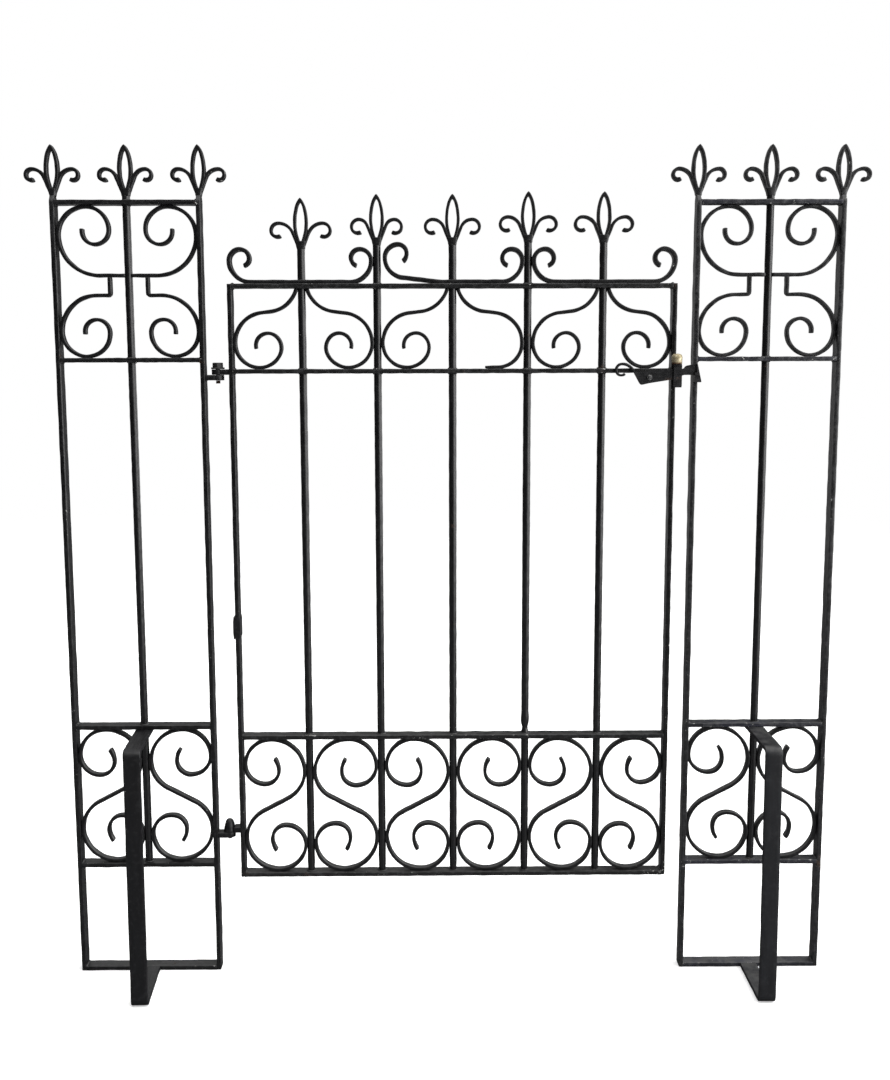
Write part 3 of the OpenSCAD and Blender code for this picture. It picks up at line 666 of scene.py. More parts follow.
# %% Dull brass
bench, shader, place = new_finish("dull_brass")
foot = box_mm("brass_knob")[0][2] * MM
tarnish = bench.ease(bench.speckle(place, 160.0, 5.0, 0.7), 0.36, 0.66)
tone = bench.over(tarnish, (0.60, 0.53, 0.36, 1), (0.34, 0.28, 0.16, 1))
ragged_z = bench.add(bench.put("SeparateXYZ", Vector=place)["Z"], bench.times(tarnish, 0.003))
stain = bench.ease(ragged_z, foot + 0.002, foot + 0.006, 1.0, 0.0)
bench.feed(shader["Base Color"], bench.over(stain, tone, (0.10, 0.045, 0.02, 1)))
bench.feed(shader["Roughness"], bench.add(0.42, bench.times(tarnish, 0.3)))
bench.feed(shader["Metallic"], bench.times(bench.less(1.0, stain), 0.55))
pits = bench.effect("hammer_marks", Place=place, Dish_Count=260.0, Dish_Depth=0.2, Grain_Depth=0.3)
bump = bench.put("Bump", Height=pits["Height"], Strength=0.4, Distance=0.0008)
bench.feed(shader["Normal"], bump["Normal"])
print(len(finishes), "finishes,", len(bpy.data.node_groups), "node groups")

# %% [markdown]
# ## Posts, stiles and rails
# All of them are the same flat bar, about 7 mm thick and an inch wide, set edge on so that the gate looks
# thin from the front. The bar's corners are rolled, not sharp. Panel posts are drawn in at the top, where the
# smith forged them down to the width of the finial that grows out of them.


# %% Flat bars
def upright(node, draw_in=0.0, seed=0):
    """A flat bar on end. Over its last draw_in millimetres its width eases from flat_w to the finial's."""
    low, high = box_mm(node)
    line = trace([[high[2] - low[2], 0]], (middle_x(node), low[2]), 90, gap=4.0, blunt=0.8)
    width = flat_w
    if draw_in:
        share = np.clip((line[2] - (line[2][-1] - draw_in)) / draw_in, 0, 1)
        width = flat_w + (strip_w + 2 - flat_w) * (3 * share**2 - 2 * share**3)
    return bar(line, flat_t, width, blunt=0.8, lump=0.22, lump_length=34, seed=seed)


def level_bar(x_from, x_to, z_under, z_over, width=flat_w, seed=0):
    """A flat bar lying along X."""
    line = trace([[x_to - x_from, 0]], (x_from, (z_under + z_over) / 2), 0, gap=4.0, blunt=0.8)
    return bar(line, z_over - z_under, width, blunt=0.8, lump=0.22, lump_length=30, seed=seed)


def rail(node, seed, sink=0.4):
    """A rail fills its box, and sinks a hair into the upright at each end so that no light shows."""
    low, high = box_mm(node)
    return level_bar(low[0] - sink, high[0] + sink, low[2], high[2], seed=seed)


seeds = iter(range(101, 121))
for side, (left_post, _, right_post) in PANELS.items():
    paint = PANEL_PAINT[side]
    for post in (left_post, right_post):
        stand_for(post, [upright(post, draw_in=11, seed=next(seeds))], paint["posts"], frame_welds)
    for node in panel_rails[side]:
        stand_for(node, [rail(node, next(seeds))], paint["rails"], frame_welds)
for stile in ("hinge_stile", "latch_stile"):
    stand_for(stile, [upright(stile, seed=next(seeds))], "black_paint_on_posts", gate_welds)
for node in GATE_RAILS:
    stand_for(node, [rail(node, next(seeds))], "black_paint_on_rails", gate_welds)
print(len(made), "flat bars")

# %% [markdown]
# ## Round bars
# The uprights between the stiles are half inch round bar. They were heated and drawn a little where they meet
# the bottom rail, and the fourth one is necked just above the lower rail, with a swelling over the neck. A
# bar's radius is therefore a value for every stop along it.

# %% Bars
BAR_SHORTFALLS = np.array([10, 4, 4, 0, 0])
NECKED_BAR = 3
bar_tops = gate_high[2] - BAR_SHORTFALLS


def round_bar(x, z_from, z_to, seed, radius=lambda z: bar_d / 2 + 0 * z):
    """A round bar on end; radius is a function of height."""
    line = trace([[z_to - z_from, 0]], (x, z_from), 90, gap=3.5, blunt=0.6)
    size = 2 * radius(z_from + line[2])
    return bar(line, size, size, section=round_section(), blunt=0.6, lump=0.13, lump_length=24, seed=seed)


def drawn_radius(z):
    """Thinned at the bottom rail."""
    return bar_d / 2 * (1 - 0.10 * bell(z, rail_z("gate_bottom_rail")[1], 14))


def necked_radius(z):
    """Also swollen above the lower rail, and necked under the swelling."""
    over_rail = z - rail_z("gate_lower_rail")[1]
    return drawn_radius(z) + bar_d / 2 * (0.10 * bell(over_rail, 26, 9) - 0.28 * bell(over_rail, 11, 5))


shapes = [necked_radius if i == NECKED_BAR else drawn_radius for i in range(len(gate_xs))]
bars = [round_bar(x, gate_low[2], bar_tops[i], 200 + i, shapes[i]) for i, x in enumerate(gate_xs)]
stand_for("gate_bars", bars, "black_paint_on_bars", gate_welds)
for seed, (_, node, _) in zip((231, 232), PANELS.values()):
    stand_for(node, [round_bar(middle_x(node), *rail_z(node), seed)], "black_paint_on_bars", frame_welds)
print("gate bars end at", bar_tops)

# %% [markdown]
# ## S-scrolls
# Each bay at the foot of the gate holds an S of flat strip. A smith bends it cold round a scroll iron, in
# quarter turns that get tighter and a short tip that opens again, so the line is a chain of arcs. Half of an
# S is worked out, from its middle to one end, and the other half is the same half turned round. The strip
# touches both uprights and both rails, which fixes the slope in its middle and the arc after it.

# %% S-scrolls
S_LEAN, S_TIP = 28, 36
S_BIG = 0.55


def scroll_strip(line, thickness, seed):
    """The strip that all scrolls are bent from."""
    return bar(line, thickness, strip_w, corner=1.1, blunt=1.4, lump=0.2, seed=seed)


def s_scroll(x_from, x_to, z_from, z_to, flip, seed):
    """An S that fills the bay: a slope, an arc that lands flat on the bay's side, then quarter turns."""
    reach = (x_to - x_from) / 2 - strip_t / 2 - weld_gap
    rise = (z_to - z_from) / 2 - strip_t / 2 - weld_gap
    big = S_BIG * 2 * reach
    a = math.radians(S_LEAN)
    first = ((rise - big) * math.cos(a) - reach * math.sin(a)) / (1 - math.sin(a))
    slope = (reach - first * (1 - math.sin(a))) / math.cos(a)
    middle = ((x_from + x_to) / 2, (z_from + z_to) / 2)
    half = trace([[slope, 0], [first, 90 - S_LEAN], [big, 90], [2 * reach - big, 90], [0.66 * reach, 90],
                  [0.47 * reach, 90], [0.72 * reach, S_TIP]], middle, S_LEAN)
    line = joined(half, (2 * np.array(middle) - half[0], half[1] + np.pi, half[2]))
    if flip:
        line = flipped(line, middle[0])
    return scroll_strip(line, strip_t * (1 + 0.14 * bell(to_end(line), 5, 6)), seed)


def bay_sides(xs, half_widths):
    """Left and right side of each bay between neighbouring uprights."""
    xs, half = np.array(xs), np.array(half_widths)
    return list(zip(xs[:-1] + half[:-1], xs[1:] - half[1:]))


def s_scrolls(bays, rail_under, rail_over, seed):
    """One S in every bay between two rails, every second one flipped."""
    z_range = rail_z(rail_under)[1], rail_z(rail_over)[0]
    return [s_scroll(*bay, *z_range, i % 2 == 1, seed + i) for i, bay in enumerate(bays)]


gate_bays = bay_sides([stile_l, *gate_xs, stile_r], [flat_t / 2] + [bar_d / 2] * 5 + [flat_t / 2])
stand_for("gate_s_scrolls", s_scrolls(gate_bays, *GATE_RAILS[:2], 300), "black_paint_on_scrolls", gate_welds)
panel_bays = {side: bay_sides([middle_x(u) for u in PANELS[side]], [flat_t / 2, bar_d / 2, flat_t / 2])
              for side in PANELS}
for side, bays in panel_bays.items():
    stand_for(f"{side}_s_scrolls", s_scrolls(bays, *panel_rails[side][1:3], 310),
              "black_paint_on_scrolls", frame_welds)
print("a gate bay is", np.diff(gate_bays[0])[0].round(2), "mm wide")

# %% [markdown]
# ## Scrolls at the top of the panels
# From the middle bar a strip runs outward, sweeps up against the post and curls in under the top rail. Below
# it a second strip hangs from the first on a short drop, turns outward in a tight bend and curls in above the
# middle rail. Right and left halves are mirror images.

# %% Panel scrolls
C_TOP, C_LOW, C_INNER = 47, 66.5, 38
DROP_X, DROP_H, DROP_BEND = 32, 33, 3.2
HOOK, CURL_TIP = 41, 5


def band_height(side):
    """Height of the line on which the upper strip leaves the middle bar."""
    return rail_z(f"{side}_top_rail")[0] - strip_t / 2 - weld_gap - C_TOP - C_LOW


def panel_scrolls(side):
    """Four strips: the upper and the lower scroll, each on both sides of the middle bar."""
    x_mid = middle_x(PANELS[side][1])
    reach = panel_bays[side][1][1] - x_mid - strip_t / 2 - weld_gap
    band_z = band_height(side)
    shelf_z = band_z - DROP_H
    start = bar_d / 2 + weld_gap - 0.6
    upper = trace([[reach - C_LOW - start, 0], [C_LOW, 90], [C_TOP, 90], [C_INNER, 90], [24, 90], [21, 90],
                   [CURL_TIP, 0]], (x_mid + start, band_z), 0)
    fall = shelf_z - (rail_z(f"{side}_middle_rail")[1] + strip_t / 2 + weld_gap) - HOOK
    lower = trace([[band_z - strip_t / 2 - shelf_z - DROP_BEND, 0], [DROP_BEND, 90],
                   [reach - DROP_X - DROP_BEND - fall, 0], [fall, -90], [HOOK, -90], [HOOK - 1, -90],
                   [22, -90], [20, -90], [CURL_TIP, 0]], (x_mid + DROP_X, band_z - strip_t / 2), -90, gap=2.6)
    lines = [upper, lower, flipped(upper, x_mid), flipped(lower, x_mid)]
    return [scroll_strip(line, strip_t, 330 + i) for i, line in enumerate(lines)]


for side in PANELS:
    stand_for(f"{side}_upper_scrolls", panel_scrolls(side), PANEL_PAINT[side]["scrolls"], frame_welds)
print("upper strips leave the middle bars at", band_height("left").round(1))

# %% [markdown]
# ## Heart scrolls
# Under the gate's top rail, two strips part at every other bar like the two halves of a heart, each ending in
# a curl on the middle rail. One of the six has lost its curl and ends in a stub along the rail.

# %% Heart scrolls
HEART_HOOK, HEART_X, HEART_DROP = 41, 9, 53
STEEP, SLOPE = 74, 7
BROKEN = (2, 1)
heart_top = rail_z("gate_top_rail")[0] - strip_t / 2 * math.cos(math.radians(STEEP)) - weld_gap
heart_floor = rail_z("gate_middle_rail")[1] + strip_t / 2 + weld_gap


def heart_bay(i, side):
    """From a bar's middle line to the far side of the bay beside it."""
    return bar_d / 2 + np.diff(gate_bays[i + (side > 0)])[0]


def heart_strip(i, side, seed):
    """Steep start, an arc to a gentle slope, a straight, an arc down to upright, then the curl. The broken
    one has a short straight for a curl, thinned where it broke."""
    steep, slope, bar_x = math.radians(STEEP), math.radians(SLOPE), gate_xs[i]
    reach = heart_bay(i, side) - strip_t / 2 - weld_gap
    dx = reach - HEART_X - HEART_DROP * (math.sin(steep) - math.sin(slope))
    dz = heart_top - heart_floor - HEART_HOOK - HEART_DROP * (math.cos(slope) - math.cos(steep))
    bend = (dz * math.cos(slope) - dx * math.sin(slope)) / (1 - math.sin(slope))
    straight = (dx - bend * (1 - math.sin(slope))) / math.cos(slope)
    broken = (i, side) == BROKEN
    tail = [[22, 0]] if broken else [[HEART_HOOK - 2, -65], [26, -70], [21, -150]]
    line = trace([[HEART_DROP, STEEP - SLOPE], [straight, 0], [bend, SLOPE - 90], [HEART_HOOK, -90]] + tail,
                 (bar_x + HEART_X, heart_top), -STEEP)
    line = line if side > 0 else flipped(line, bar_x)
    thin = 0.35 * bell(line[2], line[2][-1], 8) if broken else 0
    return scroll_strip(line, strip_t * (1 - thin), seed)


pairs = [(i, side) for i in (0, 2, 4) for side in (-1, 1) if (i, side) != BROKEN]
stand_for("heart_scrolls", [heart_strip(i, side, 350 + 2 * i + side) for i, side in pairs],
          "black_paint_on_scrolls", gate_welds)
stand_for("broken_scroll", [heart_strip(*BROKEN, 359)], "black_paint_on_scrolls", gate_welds)
print("heart scrolls start", round(heart_top, 1), "and rest on", round(heart_floor, 1))

# %% [markdown]
# ## Cresting
# On the top rail lie three wider strips whose ends curl up and in. The middle one has come loose on its left:
# it lifts off the rail before it reaches the next bar. Each strip is one line, from curl to curl.

# %% Cresting
CURL_LEAD, LOOSE_LEAD = 35.5, 33
end_half = gate_xs[0] - stile_l + flat_t / 2
mid_half = gate_xs[1] - gate_xs[0] - bar_d / 2 - weld_gap
curl = [[CURL_LEAD, 90], [19, 90], [15, 90], [13, 75]]
loose_arm = [[14, 0], [160, 7], [mid_half - crest_t / 2 - LOOSE_LEAD - 33, 0],
             [LOOSE_LEAD, 83], [22, 90], [15, 90], [16, 55]]


def crest_arm(half):
    """Flat on the rail, then the curl."""
    return [[half - crest_t / 2 - CURL_LEAD, 0]] + curl


for node, i, left_arm, right_arm in (("cresting_left", 0, crest_arm(end_half), crest_arm(mid_half)),
                                     ("cresting_middle", 2, loose_arm, crest_arm(mid_half)),
                                     ("cresting_right", 4, crest_arm(mid_half), crest_arm(end_half))):
    start = (gate_xs[i], rail_z("gate_top_rail")[1] + crest_t / 2)
    line = joined(flipped(trace(left_arm, start), gate_xs[i]), trace(right_arm, start))
    tip = to_end(line)
    strip = bar(line, crest_t * (1 + 0.10 * bell(tip, 4, 6)), crest_w - 5 * bell(tip, 0, 22), corner=1.2,
                blunt=1.5, lump=0.22, seed=370 + i)
    stand_for(node, [strip], "black_paint_on_scrolls", gate_welds)
print("cresting reaches", end_half.round(1), "mm over the stile and", mid_half.round(1), "mm to the next bar")

# %% [markdown]
# ## Finials
# The top of each bar is split in three: two curls that bend out and down, and a leaf between them. The leaf
# is a closed loop of strip, shaped like two arcs face to face. Its ring of stops runs up one side and down
# the other; at each stop the strip spans from the inner arc to the outer one, thicker at the tips.

# %% Leaf
ROOT_H, CURL_ANGLE, CURL_FOOT = 12, 68, 1.2
LEAF_H, LEAF_W = 84, 24


def leaf(x, z, thin, seed):
    """Closed loop: outer and inner arc share their centres, and stop k of one faces stop k of the other. Both
    arcs are widened by (1 - climb squared) to the power -0.25, which fills the leaf out towards its tips."""
    r = ((LEAF_H / 2) ** 2 + (LEAF_W / 2) ** 2) / LEAF_W
    off = r - LEAF_W / 2
    arcs = []
    for radius in (r, r - thin):
        side = radius * towards(math.acos(off / radius) * np.linspace(-1, 1, 37)) - [off, 0]
        climb = np.clip(side[:, 1] / side[-1, 1], 0, 0.995)
        side[:, 0] *= (1 - climb**2) ** -0.25
        arcs.append(np.concatenate([side, side[-2:0:-1] * [-1, 1]]))
    outer, inner = arcs
    middle, span = (outer + inner) / 2, outer - inner
    thick = np.linalg.norm(span, axis=1)
    facing = np.arctan2(span[:, 1], span[:, 0]) + np.pi / 2
    s = np.concatenate([[0], np.cumsum(np.linalg.norm(np.diff(middle, axis=0), axis=1))])
    return bar((middle + [x, z + LEAF_H / 2], facing, s), np.minimum(thick, thin * 1.6), strip_w,
               loop=True, lump=0.12, lump_length=16, seed=seed)


print("leaf", LEAF_H, "mm high and", LEAF_W, "mm wide on every finial")


# %% Curls and root
def curl_arm(x, z, side, reach, top, low, thin, root_w, seed):
    """Straight stem, an arc over the shoulder, two quarter turns, the second one tighter, and a short open
    tip, which is a little upset at its end."""
    a = math.radians(CURL_ANGLE)
    fall = top - low - thin
    outer = 0.55 * fall
    foot_x = root_w / 2 - thin / 2 / math.sin(a) - CURL_FOOT / math.tan(a)
    dx, dz, half = reach - thin / 2 - outer - foot_x, top - thin / 2 - CURL_FOOT, math.tan(a / 2)
    stem = (dz - half * dx) / (math.sin(a) - half * math.cos(a))
    shoulder = (dx - stem * math.cos(a)) / math.sin(a)
    line = trace([[stem, 0], [shoulder, -CURL_ANGLE], [outer, -90], [fall - outer, -90], [outer, -30]],
                 (x + foot_x, z + CURL_FOOT), CURL_ANGLE, gap=2.2)
    line = line if side > 0 else flipped(line, x)
    upset = 1 + 0.3 * bell(line[2][-1] - line[2], 3, 7)
    return bar(line, thin * upset, strip_w - 0.6, blunt=1.5, lump=0.12, lump_length=16, seed=seed)


def root(x, z, from_w, from_d, to_w, seed):
    """Where the bar splits: its section grows wider and squarer on the way up."""
    line = trace([[ROOT_H + 1, 0]], (x, z - 1), 90, gap=1.2, blunt=0.5)
    share = line[2] / line[2][-1]
    return bar(line, from_w + (to_w - from_w) * share, from_d + (strip_w + 0.6 - from_d) * share,
               corner=2.6, blunt=0.5, lump=0.2, lump_length=12, seed=seed)


def finial(x, z, reach, top, low, thin, root_w, seed):
    """Leaf, two curls and root. The curls reach out that far, and up and down to top and low over the bar."""
    return [leaf(x, z, thin, seed),
            curl_arm(x, z, 1, reach, top, low, thin, root_w, seed + 1),
            curl_arm(x, z, -1, reach, top, low, thin, root_w, seed + 2),
            root(x, z, root_w, min(root_w + 4, strip_w + 0.6), root_w + 5, seed + 3)]


gate_reaches = (52, 44.5, 48, 49.5, 50.5)
tubes = [tube for i, reach in enumerate(gate_reaches)
         for tube in finial(gate_xs[i], bar_tops[i], reach, 44, 17, 4.5, bar_d, 400 + 5 * i)]
stand_for("gate_finials", tubes, "black_paint_on_scrolls")
for side, uprights in PANELS.items():
    top = rail_z(uprights[1])[1]
    roots = (flat_t + 2, bar_d, flat_t + 2)
    tubes = [tube for k, u in enumerate(uprights)
             for tube in finial(middle_x(u), top, 46, 46, 23, 5, roots[k], 440 + 5 * k)]
    stand_for(f"{side}_finials", tubes, PANEL_PAINT[side]["scrolls"])
print("finials on", len(gate_reaches), "gate bars and", 2 * 3, "uprights of the panels")

# %% [markdown]
# ## Stays
# Each panel is held up from the front by a flat bar bent twice: along the ground, up in a leg that splays a
# little, and back over to the lower rail. It is the same section carried along a line, but in the plane that
# runs front to back. The left one has been knocked a little out of square.

# %% Stays
STAY_REACH, STAY_FOOT, STAY_BEND = 137, 146, 9
STAY_T, STAY_W = 7, 28
STAY_TURN = {"left": 3.5, "right": 0.0}


def stay(side, seed):
    """Foot, bend, leg, bend, top arm, in an upright plane that is turned about the middle bar."""
    x, turn = middle_x(PANELS[side][1]), math.radians(STAY_TURN[side])
    ahead = np.array([math.sin(turn), -math.cos(turn), 0])
    leg = rail_z(f"{side}_lower_rail")[0] - STAY_T - 2 * STAY_BEND
    splay = math.degrees(math.atan((STAY_FOOT - STAY_REACH) / leg))
    start = (flat_w / 2 + STAY_W / 2 * math.sin(turn)) / math.cos(turn)
    line = trace([[STAY_FOOT - start - STAY_BEND, 0], [STAY_BEND, 90 + splay],
                  [leg / math.cos(math.radians(splay)), 0], [STAY_BEND, 90 - splay],
                  [STAY_REACH - STAY_BEND + flat_w / 2, 0]], (start, STAY_T / 2), 0, gap=2.5, blunt=0.8)
    return bar(line, STAY_T, STAY_W, plane=(ahead, np.array([0, 0, 1.0])), at=(x, 0, 0), blunt=0.8, lump=0.2,
               lump_length=40, seed=seed)


for k, side in enumerate(PANELS):
    worn = panel_welds[side][panel_welds[side][:, 2] > 300]
    if side == "right":
        across = middle_x(PANELS[side][1]) + np.linspace(-12, 12, 5)
        worn_bend = [[x, 2 - STAY_REACH, rail_z(f"{side}_lower_rail")[0] - 2] for x in across]
        worn = np.concatenate([worn, worn_bend])
    stand_for(f"{side}_stay", [stay(side, 460 + k)], PANEL_PAINT[side]["stay"], worn)
print("the stays reach", STAY_FOOT, "mm to the front")

# %% [markdown]
# ## Hinges
# Above, a bolt drops through an eye on the stile and a lug on the post. Below, a cup on the stile turns on a
# pin that stands on the lower lug. Rings and arms are flat bar, and the bolt, the pin and the cup are turned
# about one upright line.

# %% Upper lug and eye
EYE_D, PIN_D = 21.0, 8.0
hole = PIN_D / 2 + 0.2
eye_x = middle_x("hinge_bolt")
post_face = middle_x("hinge_post") + flat_t / 2
stile_face = stile_l - flat_t / 2


def circle_line(x, radius, points):
    """A full circle about x, as a line to carry a section along."""
    turn = all_round(points)
    return radius * towards(turn) + [x, 0], turn + np.pi / 2, radius * turn


def eye(node, x_to, seed):
    """A ring round the pin, as high as its CAD node, and a flat arm to x_to."""
    z_under, z_over = rail_z(node)
    ring = bar(circle_line(eye_x, (EYE_D / 2 + hole) / 2, 36), EYE_D / 2 - hole, z_over - z_under,
               plane=FLOOR_PLANE, at=(0, 0, (z_under + z_over) / 2), corner=1.0, loop=True, lump=0.05,
               lump_length=12, seed=seed, coat=0)
    near, far = sorted((eye_x + math.copysign(hole + 0.6, x_to - eye_x), x_to))
    return [ring, level_bar(near, far, z_under + COAT, z_over - COAT, EYE_D - 0.6, seed + 1)]


stand_for("upper_hinge_lug", eye("upper_hinge_lug", post_face - 0.3, 500), "greasy_black_on_latch")
stand_for("upper_hinge_eye", eye("upper_hinge_eye", stile_face + 0.3, 503), "greasy_black_on_latch")
print("the bolt's line stands at x", round(eye_x, 2))

# %% [markdown]
# The bolt's washer and the six flats of its head are turned. Its thread is a ripple on the radius that climbs
# as it goes round, and it shows only under the lug.

# %% Hinge bolt
HEAD_H, WASHER_H = 8, 3
THREAD_PITCH, THREAD_DEPTH = 1.25, 0.35


def on_hinge(profile, z, **cut):
    """A piece turned about the hinge's line, with its profile's foot at height z."""
    return turned(profile, (eye_x, 0, z), **cut)


bolt_z, bolt_top = rail_z("hinge_bolt")
head_z = bolt_top - HEAD_H
lug_z = rail_z("upper_hinge_lug")[0]
shank_h = head_z - bolt_z - 2.5
shank = on_hinge([[PIN_D / 2 - 0.8, 0], [PIN_D / 2, 1.2], [PIN_D / 2, shank_h]], bolt_z, seed=510)
shank["rings"][..., 2] = np.maximum(shank["rings"][..., 2], lug_z - 0.3)
thread_z = np.arange(0.6, lug_z - bolt_z - 0.4, 0.2)
thread = on_hinge([[PIN_D / 2, z] for z in thread_z], bolt_z, lump=0)
share = np.linspace(0, 1, thread["rings"].shape[1], endpoint=False)
spiral = THREAD_DEPTH * (np.sin(2 * np.pi * (thread_z[:, None] / THREAD_PITCH - share)) - 1)
axis = thread["rings"] * [0, 0, 1] + [eye_x, 0, 0]
thread["rings"] = axis + (thread["rings"] - axis) * (1 + spiral / (PIN_D / 2))[..., None]
washer = on_hinge([[10.9, 0], [11.5, 0.4], [11.5, 2.5], [10.9, WASHER_H]], head_z - WASHER_H, seed=511)
hexagon = on_hinge([[9.5, 0], [9.5, 0.3], [9.5, 6.6], [9.2, 7.3], [8.0, HEAD_H]], head_z,
                   sides=6, points=36, seed=512)
stand_for("hinge_bolt", [shank, thread, washer, hexagon], "rusted_iron", slot="rusted_iron")
print("hinge bolt", size_mm("hinge_bolt").round(1), "mm")

# %% [markdown]
# The lower lug is a flat with a round end and a pin on it. The cup that turns on the pin is one turned piece:
# its profile runs down the bore's wall first, and then round the outside to the top.

# %% Lower hinge
LUG_T, BORE_H = 9, 17
socket_z = rail_z("lower_hinge_socket")[0]
lug_over = socket_z - 0.5
pin_z, pin_top = rail_z("lower_hinge_lug")
lug_plate = level_bar(post_face - 0.3, eye_x, lug_over - LUG_T + COAT, lug_over - COAT, EYE_D - 0.4, 520)
round_end = on_hinge([[10, 0], [10.4, 0.5], [10.4, 8.5], [10, LUG_T]], lug_over - LUG_T, seed=521)
pin = on_hinge([[3.2, 0], [4, 0.9], [4, pin_top - pin_z - 1.5], [2.8, pin_top - pin_z]], pin_z, seed=522)
stand_for("lower_hinge_lug", [lug_plate, round_end, pin], "greasy_black_on_latch")

bore = on_hinge([[1, BORE_H], [hole, BORE_H], [hole, 0]], socket_z, points=32, lump=0)
cup = on_hinge([[hole, 0], [10.6, 0], [11, 0.6], [10.6, 3], [9.6, 9], [8.2, 15], [7.2, 18.4], [5.6, 21],
                [3.2, 22.7], [1, 23]], socket_z, points=32, lump=0.15, seed=523)
cup["along"] = cup["along"] + bore["along"][-1]
for part in ("rings", "edge", "along"):
    cup[part] = np.concatenate([bore[part], cup[part][1:]])
arm = level_bar(eye_x + 8.4, stile_face + 0.3, socket_z, socket_z + LUG_T, EYE_D - 0.4, 524)
stand_for("lower_hinge_socket", [cup, arm], "greasy_black_on_latch")
print("the pin stands", round(pin_top - socket_z, 1), "mm up into the cup")

# %% [markdown]
# ## Latch
# A flat lever turns on a stud, runs behind a strap on the stile and drops its nose on the keeper. Such flat
# forged shapes are outlines given a thickness: the outline's corners are softened by cutting each one off
# twice, front and back are one face each, and a narrow bevel rounds the rims.


# %% Flat forged shapes
def softened(outline, cut):
    """Corner cutting, twice: each side keeps its middle part, from cut to 1 - cut of its length."""
    points = np.array(outline, float)
    for _ in range(2):
        after = np.roll(points, -1, 0)
        points = np.stack([points + (after - points) * cut, after + (points - after) * cut], 1).reshape(-1, 2)
    return points


def block(x_from, x_to, z_from, z_to):
    """The outline of an upright oblong with softened corners."""
    return softened([[x_from, z_from], [x_to, z_from], [x_to, z_to], [x_from, z_to]], 0.06)


def plate(name, outlines, bevel):
    """outlines: (points, y at the front, y at the back). Points are x and z, turned to run anticlockwise: the
    sum of x times the next z less the next x times z is then above 0."""
    points, faces, first = [], [], 0
    for outline, front, back in outlines:
        ahead = np.roll(outline, -1, 0)
        if np.sum(outline[:, 0] * ahead[:, 1] - ahead[:, 0] * outline[:, 1]) < 0:
            outline = outline[::-1]
        n = len(outline)
        points += [np.insert(outline, 1, y, axis=1) for y in (front, back)]
        k = first + np.arange(n)
        after = np.roll(k, -1)
        faces += [k.tolist(), (k[::-1] + n).tolist()] + np.stack([k, k + n, after + n, after], 1).tolist()
        first += 2 * n
    points = np.concatenate(points)
    marks = np.full(len(points), 0.3)
    piece = new_piece(name, points, faces, points[np.concatenate(faces)][:, [2, 0]], marks, marks)
    rim = piece.modifiers.new("rim", "BEVEL")
    rim.width, rim.segments, rim.limit_method, rim.angle_limit = bevel * MM, 3, "ANGLE", math.radians(50)
    piece.modifiers.new("even_shading", "WEIGHTED_NORMAL")
    return piece


def forged(node, finish, outlines, bevel=0.7, **slot):
    """A plate that stands for a CAD node."""
    piece = plate("worn_" + node, outlines, bevel)
    adopt(piece, node, finish, **slot)
    return piece


def with_tubes(piece, tubes):
    """Adds tubes to a plate, as one object."""
    extra = skin("extra", tubes)
    extra.data.materials.append(piece.data.materials[0])
    extra["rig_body"] = piece["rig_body"]
    with bpy.context.temp_override(active_object=piece, selected_editable_objects=[piece, extra]):
        bpy.ops.object.join()


print("an oblong's outline gets", len(block(0, 1, 0, 1)), "points")

# %% Lever
LEVER_H, LEVER_T, LEVER_SINK = 18, 6, 0.5
NOSE_RISE, NOSE_H, TAIL = 7.5, 19, 30
PIVOT_IN = 42
bar_front = -flat_w / 2
pivot_x = stile_r - PIVOT_IN
tail_x = pivot_x - TAIL
rail_top = rail_z("gate_middle_rail")[1]
lever_top = rail_top - LEVER_SINK
lever_z = lever_top - LEVER_H
lever_y = bar_front - 1
nose_z = lever_z + NOSE_RISE
nose_x = middle_x("latch_post") - 0.5
(guide_l, guide_y, guide_z), (guide_r, _, guide_top) = box_mm("latch_guide")
rise_x = guide_r + 3.5
outline = [[tail_x, rail_top - 1], [tail_x + 6, rail_top - 6], [stile_r - 2, lever_top], [rise_x, lever_top],
           [rise_x + 4, nose_z + NOSE_H - 3.5], [nose_x, nose_z + NOSE_H], [nose_x, nose_z],
           [rise_x - 1, nose_z], [stile_r + 8, lever_z + 1.5], [stile_r - 2, lever_z],
           [pivot_x + 1, lever_z - 6], [pivot_x - TAIL / 2, lever_z - 9.5]]
lever = forged("latch_lever", "greasy_black_on_latch", [(softened(outline, 0.1), lever_y - LEVER_T, lever_y)])
finger = trace([[6, 0], [22, 45], [10, 90], [9, 90], [8, 50]], (tail_x + 3, rail_top - 3), 135, gap=1.6)
taper = 1 - 0.15 * finger[2] / finger[2][-1]
with_tubes(lever, [bar(finger, 4.5 * taper, LEVER_T * taper, at=(0, lever_y - LEVER_T / 2, 0), corner=1.5,
                       blunt=1.8, lump=0.25, lump_length=14, seed=600)])
print("lever from x", round(tail_x), "to", round(nose_x))

# %% [markdown]
# The stud hangs on a tab under the middle rail. The strap is three flats: a face that stands off the stile,
# and a return to it above and below the lever. The keeper is a wedge on the latch post with a small upturned
# lip.

# %% Stud
TAB_W, TAB_T = 18, 5
tab = block(pivot_x - TAB_W / 2, pivot_x + TAB_W / 2, *rail_z("latch_pivot"))
stud = forged("latch_pivot", "worn_steel_stud", [(tab, bar_front, bar_front + TAB_T)], slot="rusted_iron")
stud_at = (pivot_x, bar_front, lever_z + 3.5)
with_tubes(stud, [
    turned([[2.5, -0.5], [2.5, 7.4]], stud_at, up=(0, -1, 0), points=20),
    turned([[3.4, 7.3], [4.4, 7.5], [4.5, 8.3], [3.8, 9.3], [2.2, 9.8]], stud_at, up=(0, -1, 0), points=24,
           lump=0.4, seed=601)])
print("stud at x", round(pivot_x, 1), "z", round(stud_at[2], 1))

